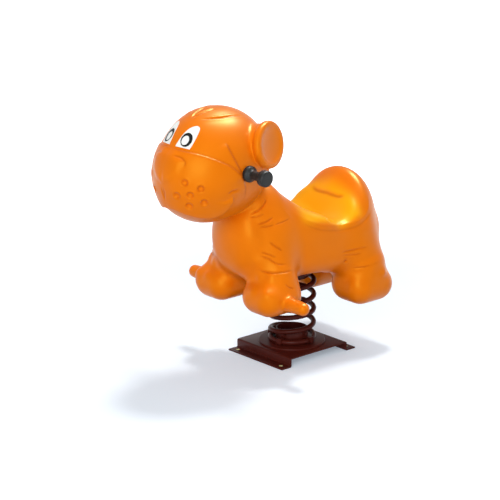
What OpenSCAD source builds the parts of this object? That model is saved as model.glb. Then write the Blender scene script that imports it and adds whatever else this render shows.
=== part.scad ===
// Spring rider: a hollow moulded animal with hand grips, carried by one coil spring on a folded plate.
// Sizes are millimetres. Z is up, the animal faces -Y and its left side is +X.
// The origin lies on the ground under the middle of the base plate.

/* [Base plate] */
// Width of the plate across the animal
base_w = 262; // [220:1:340]
// Length of the raised top along the animal
base_top_l = 250; // [230:1:320]
// Height of the raised top above the ground
base_h = 32; // [28:1:60]
// Sheet thickness
base_sheet = 5; // [3:0.5:8]
// Width of each anchor flange
anchor_flange = 38; // [30:1:60]
// Diameter of the anchor holes
anchor_hole_d = 14; // [10:0.5:18]
// Distance from an anchor hole to the end of its flange
anchor_edge = 26; // [18:1:40]

/* [Spring] */
// Wire diameter
wire_d = 17; // [14:0.5:18]
// Mean coil diameter
coil_d = 141; // [136:1:150]
// Number of working turns between the two flat ends
working_turns = 5; // [4:0.25:5.5]
// Direction of the lower wire tip, degrees from +X
tip_angle = 160; // [90:1:200]

/* [Spring seats] */
// Diameter of the pressed seat discs
disc_d = 218; // [205:1:226]
// Thickness of the seat discs
disc_t = 6; // [4:0.5:8]
// Rim of the hub beyond the clips
hub_rim = 4; // [2:0.5:8]
// Hub wall
hub_wall = 4; // [3:0.5:6]
// Width of the clips that hold the flat turns
clip_w = 18; // [12:1:24]
// Thickness of the clip strap
clip_t = 4; // [3:0.25:4]
// Diameter of the clip bolts
clip_bolt_d = 8; // [6:1:8]
// Diameter of the seat bolts
seat_bolt_d = 10; // [8:1:12]
// Radius of the circle of seat bolts
seat_bolt_circle_r = 34; // [30:1:36]

/* [Trunk] */
// Distance from the spring axis to the chest
chest_reach = 297; // [270:1:320]
// Trunk length from chest to rump
trunk_l = 619; // [580:1:660]
// Trunk width
trunk_w = 316; // [290:1:340]
// Height of the belly
belly_z = 262; // [250:1:275]
// Height of the top of the back rest
back_rest_z = 581; // [560:1:610]
// Depth of the dish in the seat
seat_dish = 34; // [20:1:40]
// Height of the roof of the pocket that takes the upper spring seat
mount_z = 300; // [296:1:310]
// Room round the seat disc in that pocket
pocket_room = 8; // [6:1:16]
// Wall of the moulding
mould_wall = 5; // [4:0.5:7]

/* [Head] */
// Head width
head_w = 312; // [290:1:330]
// Head length
head_l = 380; // [350:1:400]
// Head height
head_h = 360; // [340:1:380]
// Distance from the spring axis forward to the head's middle
head_reach = 334; // [315:1:350]
// Height of the head's middle
head_z = 698; // [680:1:720]
// Muzzle width
muzzle_w = 316; // [300:1:325]
// Muzzle length
muzzle_l = 348; // [335:1:355]
// Muzzle height
muzzle_h = 320; // [310:1:330]
// How far the muzzle's middle lies before the head's
muzzle_forward = 36; // [28:1:40]
// How far the muzzle's middle lies below the head's
muzzle_drop = 22; // [16:1:28]
// Nose width
nose_w = 118; // [90:1:140]
// Nose height
nose_h = 88; // [70:1:100]
// Gap between the nose and the line of the eyes
nose_gap = 20; // [16:1:26]
// Height of the nose's relief
nose_relief = 7; // [4:0.5:12]
// Diameter of the whisker dimples
dimple_d = 22; // [14:1:28]
// Depth of the whisker dimples
dimple_depth = 4; // [2:0.5:4.5]

// Neck diameter, inside the head and the trunk
neck_d = 136; // [120:1:150]

/* [Ears] */
// Ear diameter
ear_d = 150; // [130:1:160]
// Ear thickness
ear_t = 26; // [20:1:34]
// Diameter of the ear's stem
ear_stem_d = 134; // [110:1:138]
// Depth of the ear's dish
ear_dish = 10; // [5:0.5:14]
// Width of the rim round the dish
ear_rim = 13; // [9:1:18]
// Ear face, sideways from the middle plane
ear_x = 155; // [147:1:162]
// Ear face, behind the head's middle
ear_back = 104; // [96:1:110]
// Ear face, above the head's middle
ear_up = 70; // [62:1:76]

/* [Legs] */
// Radius of the rounding of the feet
foot_r = 56; // [50:1:60]
// Fore foot, sideways from the middle plane
fore_x = 115; // [105:1:125]
// Fore foot, forward of the spring axis
fore_reach = 193; // [180:1:205]
// Height of the fore foot's middle
fore_z = 256; // [250:1:266]
// Hind foot, sideways from the middle plane
hind_x = 117; // [108:1:125]
// Hind foot, behind the spring axis
hind_reach = 203; // [192:1:214]
// Height of the hind foot's middle
hind_z = 214; // [208:1:226]
// Diameter of the foot pegs where they leave the foot
peg_root_d = 54; // [48:1:60]
// Diameter of the foot pegs at their end
peg_d = 42; // [34:1:46]
// Distance from the middle plane to the end of a peg
peg_end = 282; // [260:1:300]
// Drop of the pegs below the fore foot's middle
peg_drop = 8; // [0:1:14]
// Diameter of the vent hole in the left hind leg
vent_d = 6; // [4:0.5:8]

/* [Handle] */
// Handle tube diameter
tube_d = 20; // [16:0.5:22]
// Handle tube wall
tube_wall = 2; // [1.5:0.25:3]
// Diameter of the hand hold
hold_d = 30; // [26:1:34]
// Diameter of the grip's collar and knob
knob_d = 52; // [44:1:58]
// Length of the grip
grip_l = 92; // [84:1:110]
// Thickness of the collar
collar_t = 12; // [8:1:16]
// Thickness of the knob
knob_t = 22; // [16:1:28]
// Rounding of the collar and knob
grip_round = 5; // [2:0.5:5.5]
// Handle axis, behind the head's middle
handle_back = 3; // [0:1:20]
// Handle axis, below the head's middle
handle_drop = 4; // [0:1:20]

/* [Eyes] */
// Eye width at its flat lower edge
eye_w = 50; // [40:1:54]
// Eye height
eye_h = 58; // [46:1:60]
// Eye middle, sideways from the middle plane
eye_x = 35; // [32:1:40]
// Lower edge of the eye below the crown of the head
eye_down = 98; // [94:1:100]
// Outward lean of the eye's top
eye_lean = 10; // [0:1:14]
// Thickness of each printed film
film_t = 0.8; // [0.5:0.1:1.2]
// Width of the pupil ring
ring_w = 34; // [26:1:36]
// Height of the pupil ring
ring_h = 42; // [34:1:46]

/* [Hidden] */
// Clearance between pieces of different bodies
gap = 0.3;
// Overrun of every cut
over = 1;
// Radius of the ball that the egg forms are scaled from
unit_r = 1;
// Sides of the egg forms, of the hollow head, of the leg balls, of round bores and of the hollow legs
egg_fn = 30;
cavity_fn = 16;
ball_fn = 16;
bore_fn = 32;
hollow_fn = 10;
hex_fn = 6;

// Base plate
fold_y = base_top_l / 2;
flange_y = fold_y + anchor_flange / 2;
anchor_x = base_w / 2 - anchor_edge;
seat_z = base_h;

// Bolts, nuts, washers and inserts, as shares of the shank's diameter
bolt_head_share = 0.65;
nut_share = 0.8;
hex_share = 1.9;
washer_t_share = 0.2;
washer_d_share = 2.1;
bolt_over_share = 0.25;
insert_d_share = 2;
insert_l_share = 2.5;
clip_head_share = 0.4;
clip_head_d_share = 1.75;
clip_hex_share = 1.85;
// Room of a bolt in its hole, on each side
bolt_gap = 0.5;
seat_bolt_hole_d = seat_bolt_d + 2 * bolt_gap;
seat_bolt_head_h = seat_bolt_d * bolt_head_share;
seat_nut_h = seat_bolt_d * nut_share;
seat_hex_d = seat_bolt_d * hex_share;
washer_t = seat_bolt_d * washer_t_share;
washer_d = seat_bolt_d * washer_d_share;
seat_bolt_over = seat_bolt_d * bolt_over_share;
seat_bolt_angles = [45, 135, 225, 315];
insert_d = seat_bolt_d * insert_d_share;
insert_l = seat_bolt_d * insert_l_share;
boss_d = insert_d + 3 * mould_wall;
boss_l = insert_l + mould_wall;
clip_head_h = clip_bolt_d * clip_head_share;
clip_head_d = clip_bolt_d * clip_head_d_share;
clip_nut_h = clip_bolt_d * nut_share;
clip_hex_d = clip_bolt_d * clip_hex_share;
clip_hole_d = clip_bolt_d + 2 * bolt_gap;

// Spring: the flat ends stop where the next turn is an end gap above the wire
end_gap = 0.7;
coil_r = coil_d / 2;
wire_r = wire_d / 2;
spring_z0 = seat_z + disc_t + gap + wire_r;
spring_z1 = mount_z - disc_t - gap - wire_r;
pitch = (spring_z1 - spring_z0) / working_turns;
flat_turns = 1 - (wire_d + end_gap) / pitch;
all_turns = working_turns + 2 * flat_turns;
rings_per_turn = 22;
wire_sides = 10;
spring_rings = ceil(all_turns * rings_per_turn);

// Seats and clips, measured from the disc's outer face; the hub leaves room for straps and bolt heads
hub_spare = 1.5;
hub_r = coil_r - wire_r - hub_spare - clip_head_h - clip_t - gap;
clip_in_r = hub_r + gap;
clip_mid_r = clip_in_r + clip_t;
clip_out_r = coil_r + wire_r + 2 * gap;
clip_end_r = clip_out_r + clip_t;
clip_under = disc_t + gap + wire_d + gap;
clip_over = clip_under + clip_t;
clip_foot = disc_t + gap + wire_r / 4;
clip_bolt_z = clip_over + clip_head_d / 2 + gap;
clip_top = clip_bolt_z + clip_head_d / 2;
clip_nut_face = sqrt(pow(hub_r - hub_wall, 2) - pow(clip_hex_d / 2, 2)) - gap;
hub_h = clip_top + hub_rim - disc_t;
// The clips share out the flat turn, from where the next turn clears a strap to just before the rise
clip_count = 3;
clip_half_angle = asin(clip_w / 2 / (coil_r - wire_r));
clip_lead = 360 * (clip_t + 4 * gap - end_gap) / pitch + clip_half_angle;
clip_tail = 2 * clip_half_angle;
clip_step = (360 * flat_turns - clip_lead - clip_tail) / (clip_count - 1);
lower_clip_angle = tip_angle + clip_lead;
upper_clip_angle = clip_lead - tip_angle - 360 * all_turns;

// Trunk rows from chest to rump: place along the trunk, underside and top as shares of its height,
// half width as a share of the widest, squareness of the top, and dish as a share of the seat's dish
trunk_h = back_rest_z - belly_z;
trunk_rows_shares = [
  [0.000, 0.545, 0.545, 0.00, 2.0, 0.00],
  [0.020, 0.307, 0.765, 0.38, 2.0, 0.00],
  [0.070, 0.170, 0.953, 0.58, 2.0, 0.00],
  [0.144, 0.100, 1.128, 0.71, 2.1, 0.00],
  [0.238, 0.069, 1.110, 0.81, 2.2, 0.00],
  [0.325, 0.038, 0.958, 0.87, 2.4, 0.04],
  [0.418, 0.019, 0.822, 0.93, 3.4, 0.40],
  [0.515, 0.009, 0.725, 0.96, 5.0, 0.90],
  [0.601, 0.003, 0.633, 0.98, 5.0, 1.00],
  [0.674, 0.000, 0.665, 0.99, 5.0, 0.88],
  [0.748, 0.000, 0.852, 1.00, 2.6, 0.22],
  [0.822, 0.019, 1.000, 0.94, 2.15, 0.00],
  [0.900, 0.088, 0.922, 0.74, 2.2, 0.00],
  [0.964, 0.213, 0.652, 0.47, 2.1, 0.00],
  [1.000, 0.433, 0.433, 0.00, 2.0, 0.00]];
trunk_waist_share = 0.45;
trunk_under_square = 2.7;
trunk_steps = 3;
trunk_sides = 28;
// The cavity has fewer rings than the outside, so its trunk is drawn in further
cavity_slack = 5;
cavity_steps = 3;
cavity_sides = 16;
// Smallest half size of a trunk ring, so that no ring closes to a point
ring_least = 1;
pocket_d = disc_d + 2 * pocket_room;

// Head, muzzle, nose and dimples
head_at = [0, -head_reach, head_z];
head_half = [head_w, head_l, head_h] / 2;
muzzle_at = [0, -head_reach - muzzle_forward, head_z - muzzle_drop];
muzzle_half = [muzzle_w, muzzle_l, muzzle_h] / 2;
wall_half = [mould_wall, mould_wall, mould_wall];
nose_r = nose_h / 4;
nose_z = head_z + head_h / 2 - eye_down - nose_gap - nose_h / 2;
dimple_spots_shares = [[0.470, 0.033], [0.715, -0.075], [0.290, -0.250],
  [0.544, -0.214], [0.700, -0.366], [0.463, -0.445]];

// The neck runs from the head's middle into the trunk, at shares of the trunk's length and height
neck_root_shares = [0.22, 0.72];
neck_root = [0, trunk_l * neck_root_shares[0] - chest_reach, belly_z + trunk_h * neck_root_shares[1]];

// Ears: the face looks sideways, a little backward and a little up; the stem's root lies in the head
ear_yaw = 16;
ear_pitch = 9;
ear_round = ear_t / 4;
ear_at = [ear_x, -head_reach + ear_back, head_z + ear_up];
ear_root_shares = [0.5, 0.8, 0.84];
ear_root_r_share = 0.45;
ear_root_r = ear_stem_d * ear_root_r_share;
ear_root = [ear_x * ear_root_shares[0], -head_reach + ear_back * ear_root_shares[1],
  head_z + ear_up * ear_root_shares[2]];

// Legs: balls in the trunk and at the ankle, as shares of the foot's place across and along, and of the
// foot's rounding for the height above the foot and for the ball's radius
fore_top_shares = [0.53, 0.83, 3, 1.27];
fore_ankle_shares = [0.95, 0.89, 0.89, 1.25];
hind_top_shares = [0.6, 0.916, 2.43, 1.7];
hind_ankle_shares = [0.98, 0.98, 1.2, 1.43];
vent_shares = [1, 0.37, 2];
fore_foot = [fore_x, -fore_reach, fore_z];
hind_foot = [hind_x, hind_reach, hind_z];
function leg_at(foot, s) = [foot[0] * s[0], foot[1] * s[1], foot[2] + foot_r * s[2]];
function leg_r(s) = foot_r * s[3];
// Half spread of the four balls of each foot, across and along
fore_spread = [23, 30];
hind_spread = [27, 34];
peg_round = peg_d / 8;

// Handle: the grips stand on the sides of the head
handle_at = [0, -head_reach + handle_back, head_z - handle_drop];
head_side = head_half[0] * sqrt(1 - pow(handle_back / head_half[1], 2) - pow(handle_drop / head_half[2], 2));
grip_x = head_side + gap;
grip_end = grip_x + grip_l;
tube_end = grip_end - knob_t / 2;
grip_bore_d = tube_d + gap;
waist_l = (knob_d - hold_d) / 3;
arc_steps = 5;

// Eyes: a white film and a pupil ring on it, both bent to the head
eye_rows = 8;
eye_cols = 10;
eye_tip_share = 0.985;
ring_steps = 28;
ring_in_share = 0.60;
// The ring's middle from the eye's lower middle, and the shift of its inner oval
ring_from_eye = [5, 22];
ring_shift = [-2, -1];
eye_up = head_h / 2 - eye_down;
ring_at = [eye_x, eye_up] + ring_from_eye;

paint = "#4a1a15";
plastic = "#f08020";
zinc = "#b8b8b0";
rubber = "#33383a";

// Two copies, one mirrored in the middle plane
module pair() {
  children();
  mirror([1, 0, 0]) children();
}

// An egg form of three half sizes
module egg(at, half, fn) translate(at) hull() scale(half / unit_r) sphere(r = unit_r, $fn = fn);

// A limb between two balls
module limb(a, a_r, b, b_r, fn) hull() {
  translate(a) sphere(r = a_r, $fn = fn);
  translate(b) sphere(r = b_r, $fn = fn);
}

// A foot over four balls
module boot(at, spread, r, fn) hull() for (i = [-1, 1]) for (j = [-1, 1])
  translate(at + [i * spread[0], j * spread[1], 0]) sphere(r = r, $fn = fn);

// A hexagon bolt along +Z, with its head below zero
module hex_bolt(d, l, head_h, head_d) {
  translate([0, 0, -head_h]) cylinder(d = head_d, h = head_h, $fn = hex_fn);
  cylinder(d = d, h = l, $fn = bore_fn);
}

// A bored round or hexagon ring along +Z
module bored(d, bore, h, fn) difference() {
  cylinder(d = d, h = h, $fn = fn);
  translate([0, 0, -over]) cylinder(d = bore, h = h + 2 * over, $fn = bore_fn);
}

// Places of the seat bolts
module at_seat_bolts() for (a = seat_bolt_angles) rotate([0, 0, a]) translate([seat_bolt_circle_r, 0, 0])
  children();

// Places of the clips, from a first direction
module at_clips(first) for (i = [0 : clip_count - 1]) rotate([0, 0, first + i * clip_step]) children();

// Frame of the upper seat: turned over, with the roof of the pocket as its floor
module upper_frame() translate([0, 0, mount_z]) rotate([180, 0, 0]) children();

// Folded plate, open under its raised top
module base_plate() color(paint) difference() {
  union() {
    translate([-base_w / 2, -fold_y, base_h - base_sheet]) cube([base_w, base_top_l, base_sheet]);
    for (s = [0, 180]) rotate([0, 0, s]) {
      translate([-base_w / 2, fold_y - base_sheet, 0]) cube([base_w, base_sheet, base_h]);
      translate([-base_w / 2, fold_y - base_sheet, 0])
        cube([base_w, anchor_flange + base_sheet, base_sheet]);
    }
  }
  for (i = [-1, 1]) for (j = [-1, 1]) translate([i * anchor_x, j * flange_y, -over])
    cylinder(d = anchor_hole_d, h = base_sheet + 2 * over, $fn = bore_fn);
  translate([0, 0, base_h - base_sheet - over]) at_seat_bolts()
    cylinder(d = seat_bolt_hole_d, h = base_sheet + 2 * over, $fn = bore_fn);
}

// Pressed disc with the hub that stands inside the coil
module seat(first) difference() {
  union() {
    cylinder(d = disc_d, h = disc_t, $fn = bore_fn);
    cylinder(r = hub_r, h = disc_t + hub_h, $fn = bore_fn);
  }
  translate([0, 0, disc_t]) cylinder(r = hub_r - hub_wall, h = hub_h + over, $fn = bore_fn);
  translate([0, 0, -over]) at_seat_bolts()
    cylinder(d = seat_bolt_hole_d, h = disc_t + 2 * over, $fn = bore_fn);
  at_clips(first) translate([hub_r - hub_wall - over, 0, clip_bolt_z]) rotate([0, 90, 0])
    cylinder(d = clip_hole_d, h = hub_wall + 2 * over, $fn = bore_fn);
}

// Strap clips: each stands on the hub, crosses the flat turn and turns down outside it
module clips(first) at_clips(first) difference() {
  rotate([90, 0, 0]) translate([0, 0, -clip_w / 2]) linear_extrude(clip_w) polygon([
    [clip_in_r, clip_under - wire_r], [clip_mid_r, clip_under - wire_r], [clip_mid_r, clip_under],
    [clip_out_r, clip_under], [clip_out_r, clip_foot], [clip_end_r, clip_foot], [clip_end_r, clip_over],
    [clip_mid_r, clip_over], [clip_mid_r, clip_top], [clip_in_r, clip_top]]);
  translate([clip_in_r - over, 0, clip_bolt_z]) rotate([0, 90, 0])
    cylinder(d = clip_hole_d, h = clip_t + 2 * over, $fn = bore_fn);
}

// Bolts of the clips, with low round heads outside
module clip_bolts(first) at_clips(first) {
  translate([clip_mid_r, 0, clip_bolt_z]) rotate([0, 90, 0])
    cylinder(d = clip_head_d, h = clip_head_h, $fn = bore_fn);
  translate([clip_nut_face - clip_nut_h - gap, 0, clip_bolt_z]) rotate([0, 90, 0])
    cylinder(d = clip_bolt_d, h = clip_mid_r + gap + clip_nut_h - clip_nut_face + over, $fn = bore_fn);
}

// Nuts of the clips, inside the hub
module clip_nuts(first) at_clips(first) translate([clip_nut_face - clip_nut_h, 0, clip_bolt_z])
  rotate([0, 90, 0]) bored(clip_hex_d, clip_bolt_d + gap, clip_nut_h, hex_fn);

module lower_seat() color(paint) translate([0, 0, seat_z]) seat(lower_clip_angle);
module lower_clips() color(paint) translate([0, 0, seat_z]) clips(lower_clip_angle);
module lower_clip_bolts() color(zinc) translate([0, 0, seat_z]) clip_bolts(lower_clip_angle);
module lower_clip_nuts() color(zinc) translate([0, 0, seat_z]) clip_nuts(lower_clip_angle);

module lower_seat_bolts() color(zinc) at_seat_bolts() translate([0, 0, seat_z + disc_t]) rotate([180, 0, 0])
  hex_bolt(seat_bolt_d, disc_t + base_sheet + washer_t + seat_nut_h + seat_bolt_over,
    seat_bolt_head_h, seat_hex_d);

module lower_seat_washers() color(zinc) at_seat_bolts() translate([0, 0, base_h - base_sheet - washer_t])
  bored(washer_d, seat_bolt_d + gap, washer_t, bore_fn);

module lower_seat_nuts() color(zinc) at_seat_bolts()
  translate([0, 0, base_h - base_sheet - washer_t - seat_nut_h])
  bored(seat_hex_d, seat_bolt_d + gap, seat_nut_h, hex_fn);

// Middle of the wire after u turns from the lower tip
function wire_z(u) = spring_z0 + pitch * min(max(u - flat_turns, 0), working_turns);
function wire_at(u) = [coil_r * cos(tip_angle + 360 * u), coil_r * sin(tip_angle + 360 * u), wire_z(u)];
function wire_ring(u) = [for (k = [0 : wire_sides - 1])
  let (a = 360 * k / wire_sides, r = coil_r + wire_r * cos(a))
  [r * cos(tip_angle + 360 * u), r * sin(tip_angle + 360 * u), wire_z(u) + wire_r * sin(a)]];

// Least gap of the wire to itself, over points three quarters of a turn or more apart
spring_gap = min([for (i = [0 : spring_rings - rings_per_turn]) for (j = [ceil(rings_per_turn * 3 / 4) :
    min(2 * rings_per_turn, spring_rings - i)])
  norm(wire_at((i + j) * all_turns / spring_rings) - wire_at(i * all_turns / spring_rings))]) - wire_d;
echo(spring_least_gap_mm = spring_gap);

// The spring is one unbroken tube with a cut end at each tip
module coil_spring() color(paint) {
  n = spring_rings;
  m = wire_sides;
  points = [for (i = [0 : n]) each wire_ring(i * all_turns / n)];
  faces = concat(
    [for (i = [0 : n - 1]) for (k = [0 : m - 1]) let (l = (k + 1) % m)
      each [[i * m + k, i * m + l, i * m + m + l], [i * m + k, i * m + m + l, i * m + m + k]]],
    [for (k = [1 : m - 2]) [0, k + 1, k]],
    [for (k = [1 : m - 2]) [n * m, n * m + k, n * m + k + 1]]);
  polyhedron(points, faces);
}

// Smooth curve through the rows of the trunk
function through(a, b, c, d, t) = ((2 * b) + (c - a) * t + (2 * a - 5 * b + 4 * c - d) * t * t
  + (3 * b - a - 3 * c + d) * t * t * t) / 2;
function row_value(k, i, t) = let (r = trunk_rows_shares, n = len(r) - 1)
  through(r[max(0, i - 1)][k], r[i][k], r[i + 1][k], r[min(n, i + 2)][k], t);
function trunk_row(j, steps) = let (i = min(floor(j / steps), len(trunk_rows_shares) - 2))
  [for (k = [0 : 5]) row_value(k, i, j / steps - i)];
function squared(v, p) = sign(v) * pow(abs(v), 2 / p);

// One ring of the trunk, drawn in by an inset
function trunk_ring(row, sides, inset) = let (
    low = row[1] * trunk_h, high = row[2] * trunk_h, waist = low + (high - low) * trunk_waist_share,
    rise = max(ring_least, high - waist - inset), fall = max(ring_least, waist - low - inset),
    half = max(ring_least, row[3] * trunk_w / 2 - inset), y = trunk_y(row[0], inset))
  [for (q = [0 : sides - 1]) let (
      a = 360 * q / sides, top = sin(a) > 0, p = top ? row[4] : trunk_under_square,
      across = squared(cos(a), p), lift = squared(sin(a), p) * (top ? rise : fall),
      dish = top ? row[5] * seat_dish * pow(cos(90 * min(1, abs(across))), 2) : 0)
    [half * across, y, belly_z + waist + lift - dish]];
function trunk_y(share, inset) = -chest_reach + inset + share * (trunk_l - 2 * inset);

module trunk(steps, sides, inset) {
  last = len(trunk_rows_shares) - 1;
  rings = last * steps - 1;
  chest = rings * sides;
  rump = chest + 1;
  points = concat([for (j = [1 : rings]) each trunk_ring(trunk_row(j, steps), sides, inset)],
    [[0, trunk_y(0, inset), belly_z + trunk_rows_shares[0][1] * trunk_h],
     [0, trunk_y(1, inset), belly_z + trunk_rows_shares[last][1] * trunk_h]]);
  faces = concat(
    [for (j = [0 : rings - 2]) for (q = [0 : sides - 1]) let (a = j * sides, b = (q + 1) % sides)
      each [[a + q, a + sides + b, a + sides + q], [a + q, a + b, a + sides + b]]],
    [for (q = [0 : sides - 1]) [chest, (q + 1) % sides, q]],
    [for (q = [0 : sides - 1]) [rump, chest - sides + q, chest - sides + (q + 1) % sides]]);
  polyhedron(points, faces);
}

// Front of an egg at a place sideways and up
function egg_front(at, half, x, z) = at[1] - half[1]
  * sqrt(max(0, 1 - pow(x / half[0], 2) - pow((z - at[2]) / half[2], 2)));
function muzzle_front(x, z) = egg_front(muzzle_at, muzzle_half, x, z);
function nose_ball(x, z) = [x, muzzle_front(x, z) + nose_r - nose_relief, z];
// Outward direction of the muzzle at a point
function muzzle_out(p) = let (v = [for (k = [0 : 2]) (p[k] - muzzle_at[k]) / pow(muzzle_half[k], 2)])
  v / norm(v);

module nose() hull() {
  pair() translate(nose_ball(nose_w / 2 - nose_r, nose_z + nose_h / 2 - nose_r))
    sphere(r = nose_r, $fn = ball_fn);
  translate(nose_ball(0, nose_z - nose_h / 2 + nose_r)) sphere(r = nose_r, $fn = ball_fn);
}

module dimples() for (s = dimple_spots_shares) {
  x = s[0] * muzzle_half[0];
  z = muzzle_at[2] + s[1] * muzzle_half[2];
  p = [x, muzzle_front(x, z), z];
  ball = (pow(dimple_d / 2, 2) + pow(dimple_depth, 2)) / (2 * dimple_depth);
  translate(p + muzzle_out(p) * (ball - dimple_depth)) sphere(r = ball, $fn = cavity_fn);
}

module ear_frame() translate(ear_at) rotate([0, 90 - ear_pitch, ear_yaw]) children();

module ear() {
  hull() ear_frame() {
    translate([0, 0, -ear_t]) cylinder(d = ear_d - 2 * ear_round, h = ear_t, $fn = egg_fn);
    translate([0, 0, ear_round - ear_t]) cylinder(d = ear_d, h = ear_t - 2 * ear_round, $fn = egg_fn);
  }
  hull() {
    ear_frame() translate([0, 0, -ear_t - ear_round]) cylinder(d = ear_stem_d, h = ear_t / 2, $fn = egg_fn);
    translate(ear_root) sphere(r = ear_root_r, $fn = ball_fn);
  }
}

// The dish is a shallow egg sunk in the ear's face
module ear_dishes() ear_frame() hull() scale([ear_d / 2 - ear_rim, ear_d / 2 - ear_rim, ear_dish] / unit_r)
  sphere(r = unit_r, $fn = egg_fn);

// A leg, drawn in by an inset for its hollow
module leg(foot, spread, top, ankle, inset, fn) {
  limb(leg_at(foot, top), leg_r(top) - inset, leg_at(foot, ankle), leg_r(ankle) - inset, fn);
  boot(foot, spread, foot_r - inset, fn);
}

module fore_leg(inset, fn) leg(fore_foot, fore_spread, fore_top_shares, fore_ankle_shares, inset, fn);
module hind_leg(inset, fn) leg(hind_foot, hind_spread, hind_top_shares, hind_ankle_shares, inset, fn);

module peg() translate(fore_foot - [0, 0, peg_drop]) rotate([0, 90, 0]) hull() {
  cylinder(d = peg_root_d, h = foot_r / 2, $fn = ball_fn);
  cylinder(d = peg_d, h = peg_end - fore_x - peg_round, $fn = ball_fn);
  cylinder(d = peg_d - 2 * peg_round, h = peg_end - fore_x, $fn = ball_fn);
}

module neck(inset, fn) limb(head_at, neck_d / 2 - inset, neck_root, neck_d / 2 - inset, fn);

module rider_outside() {
  trunk(trunk_steps, trunk_sides, 0);
  neck(0, ball_fn);
  egg(head_at, head_half, egg_fn);
  egg(muzzle_at, muzzle_half, egg_fn);
  nose();
  pair() ear();
  pair() fore_leg(0, ball_fn);
  pair() hind_leg(0, ball_fn);
  pair() peg();
}

// The moulding is hollow: head, trunk, hind legs and fore legs open into one another
module rider_cavity() difference() {
  union() {
    trunk(cavity_steps, cavity_sides, mould_wall + cavity_slack);
    neck(mould_wall, hollow_fn);
    egg(head_at, head_half - wall_half, cavity_fn);
    egg(muzzle_at, muzzle_half - wall_half, cavity_fn);
    pair() fore_leg(mould_wall, hollow_fn);
    pair() hind_leg(mould_wall, hollow_fn);
  }
  translate([0, 0, belly_z - mould_wall]) cylinder(d = pocket_d + 2 * mould_wall,
    h = mount_z - belly_z + 2 * mould_wall, $fn = bore_fn);
  at_seat_bolts() translate([0, 0, mount_z]) cylinder(d = boss_d, h = boss_l, $fn = ball_fn);
}

module rider_shell() color(plastic) difference() {
  rider_outside();
  rider_cavity();
  pair() ear_dishes();
  pair() dimples();
  translate([0, 0, belly_z - over]) cylinder(d = pocket_d, h = mount_z - belly_z + over, $fn = bore_fn);
  at_seat_bolts() translate([0, 0, mount_z - over])
    cylinder(d = insert_d + 2 * gap, h = insert_l + gap + over, $fn = ball_fn);
  translate([-head_w, handle_at[1], handle_at[2]]) rotate([0, 90, 0])
    cylinder(d = tube_d + 2 * gap, h = 2 * head_w, $fn = ball_fn);
  translate(leg_at(hind_foot, vent_shares)) rotate([0, 90, 0])
    cylinder(d = vent_d, h = trunk_w, $fn = hollow_fn);
}

// Threaded sleeves moulded into the roof of the pocket
module belly_inserts() color(zinc) at_seat_bolts() translate([0, 0, mount_z])
  bored(insert_d, seat_bolt_d + gap, insert_l, bore_fn);

module upper_seat() color(paint) upper_frame() seat(upper_clip_angle);
module upper_clips() color(paint) upper_frame() clips(upper_clip_angle);
module upper_clip_bolts() color(zinc) upper_frame() clip_bolts(upper_clip_angle);
module upper_clip_nuts() color(zinc) upper_frame() clip_nuts(upper_clip_angle);

module upper_seat_bolts() color(zinc) at_seat_bolts() translate([0, 0, mount_z - disc_t - washer_t])
  hex_bolt(seat_bolt_d, disc_t + washer_t + insert_l - seat_bolt_over, seat_bolt_head_h, seat_hex_d);

module upper_seat_washers() color(zinc) at_seat_bolts() translate([0, 0, mount_z - disc_t - washer_t])
  bored(washer_d, seat_bolt_d + gap, washer_t, bore_fn);

// Straight tube through the head
module handle_tube() color(zinc) translate([-tube_end, handle_at[1], handle_at[2]]) rotate([0, 90, 0])
  bored(tube_d, tube_d - 2 * tube_wall, 2 * tube_end, bore_fn);

// Quarter arc of a rounded edge, as radius and place along the grip
function grip_arc(r, z, from) = [for (i = [0 : arc_steps]) let (a = from + 90 * i / arc_steps)
  [r + grip_round * cos(a), z + grip_round * sin(a)]];

// Grip: a collar against the head, a waisted hand hold and a closed knob
module grip() rotate_extrude($fn = bore_fn) polygon(concat(
  [[grip_bore_d / 2, 0]],
  [for (p = grip_arc(knob_d / 2 - grip_round, grip_round, -90)) p],
  [[knob_d / 2, collar_t - grip_round], [hold_d / 2 + waist_l / 2, collar_t],
   [hold_d / 2, collar_t + waist_l], [hold_d / 2, grip_l - knob_t - waist_l],
   [hold_d / 2 + waist_l / 2, grip_l - knob_t], [knob_d / 2, grip_l - knob_t + grip_round]],
  grip_arc(knob_d / 2 - grip_round, grip_l - grip_round, 0),
  [[0, grip_l], [0, tube_end - grip_x + gap], [grip_bore_d / 2, tube_end - grip_x + gap]]));

module left_grip() color(rubber) translate([grip_x, handle_at[1], handle_at[2]]) rotate([0, 90, 0]) grip();
module right_grip() color(rubber) translate([-grip_x, handle_at[1], handle_at[2]]) rotate([0, -90, 0]) grip();

// A point of the face, lifted off whichever of head and muzzle is in front, at a place sideways and up
function face_at(side, x, up, lift) = let (grown = [lift, lift, lift], z = head_z + up)
  [side * x, min(egg_front(head_at, head_half + grown, x, z), egg_front(muzzle_at, muzzle_half + grown, x, z)),
   z];

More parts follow.
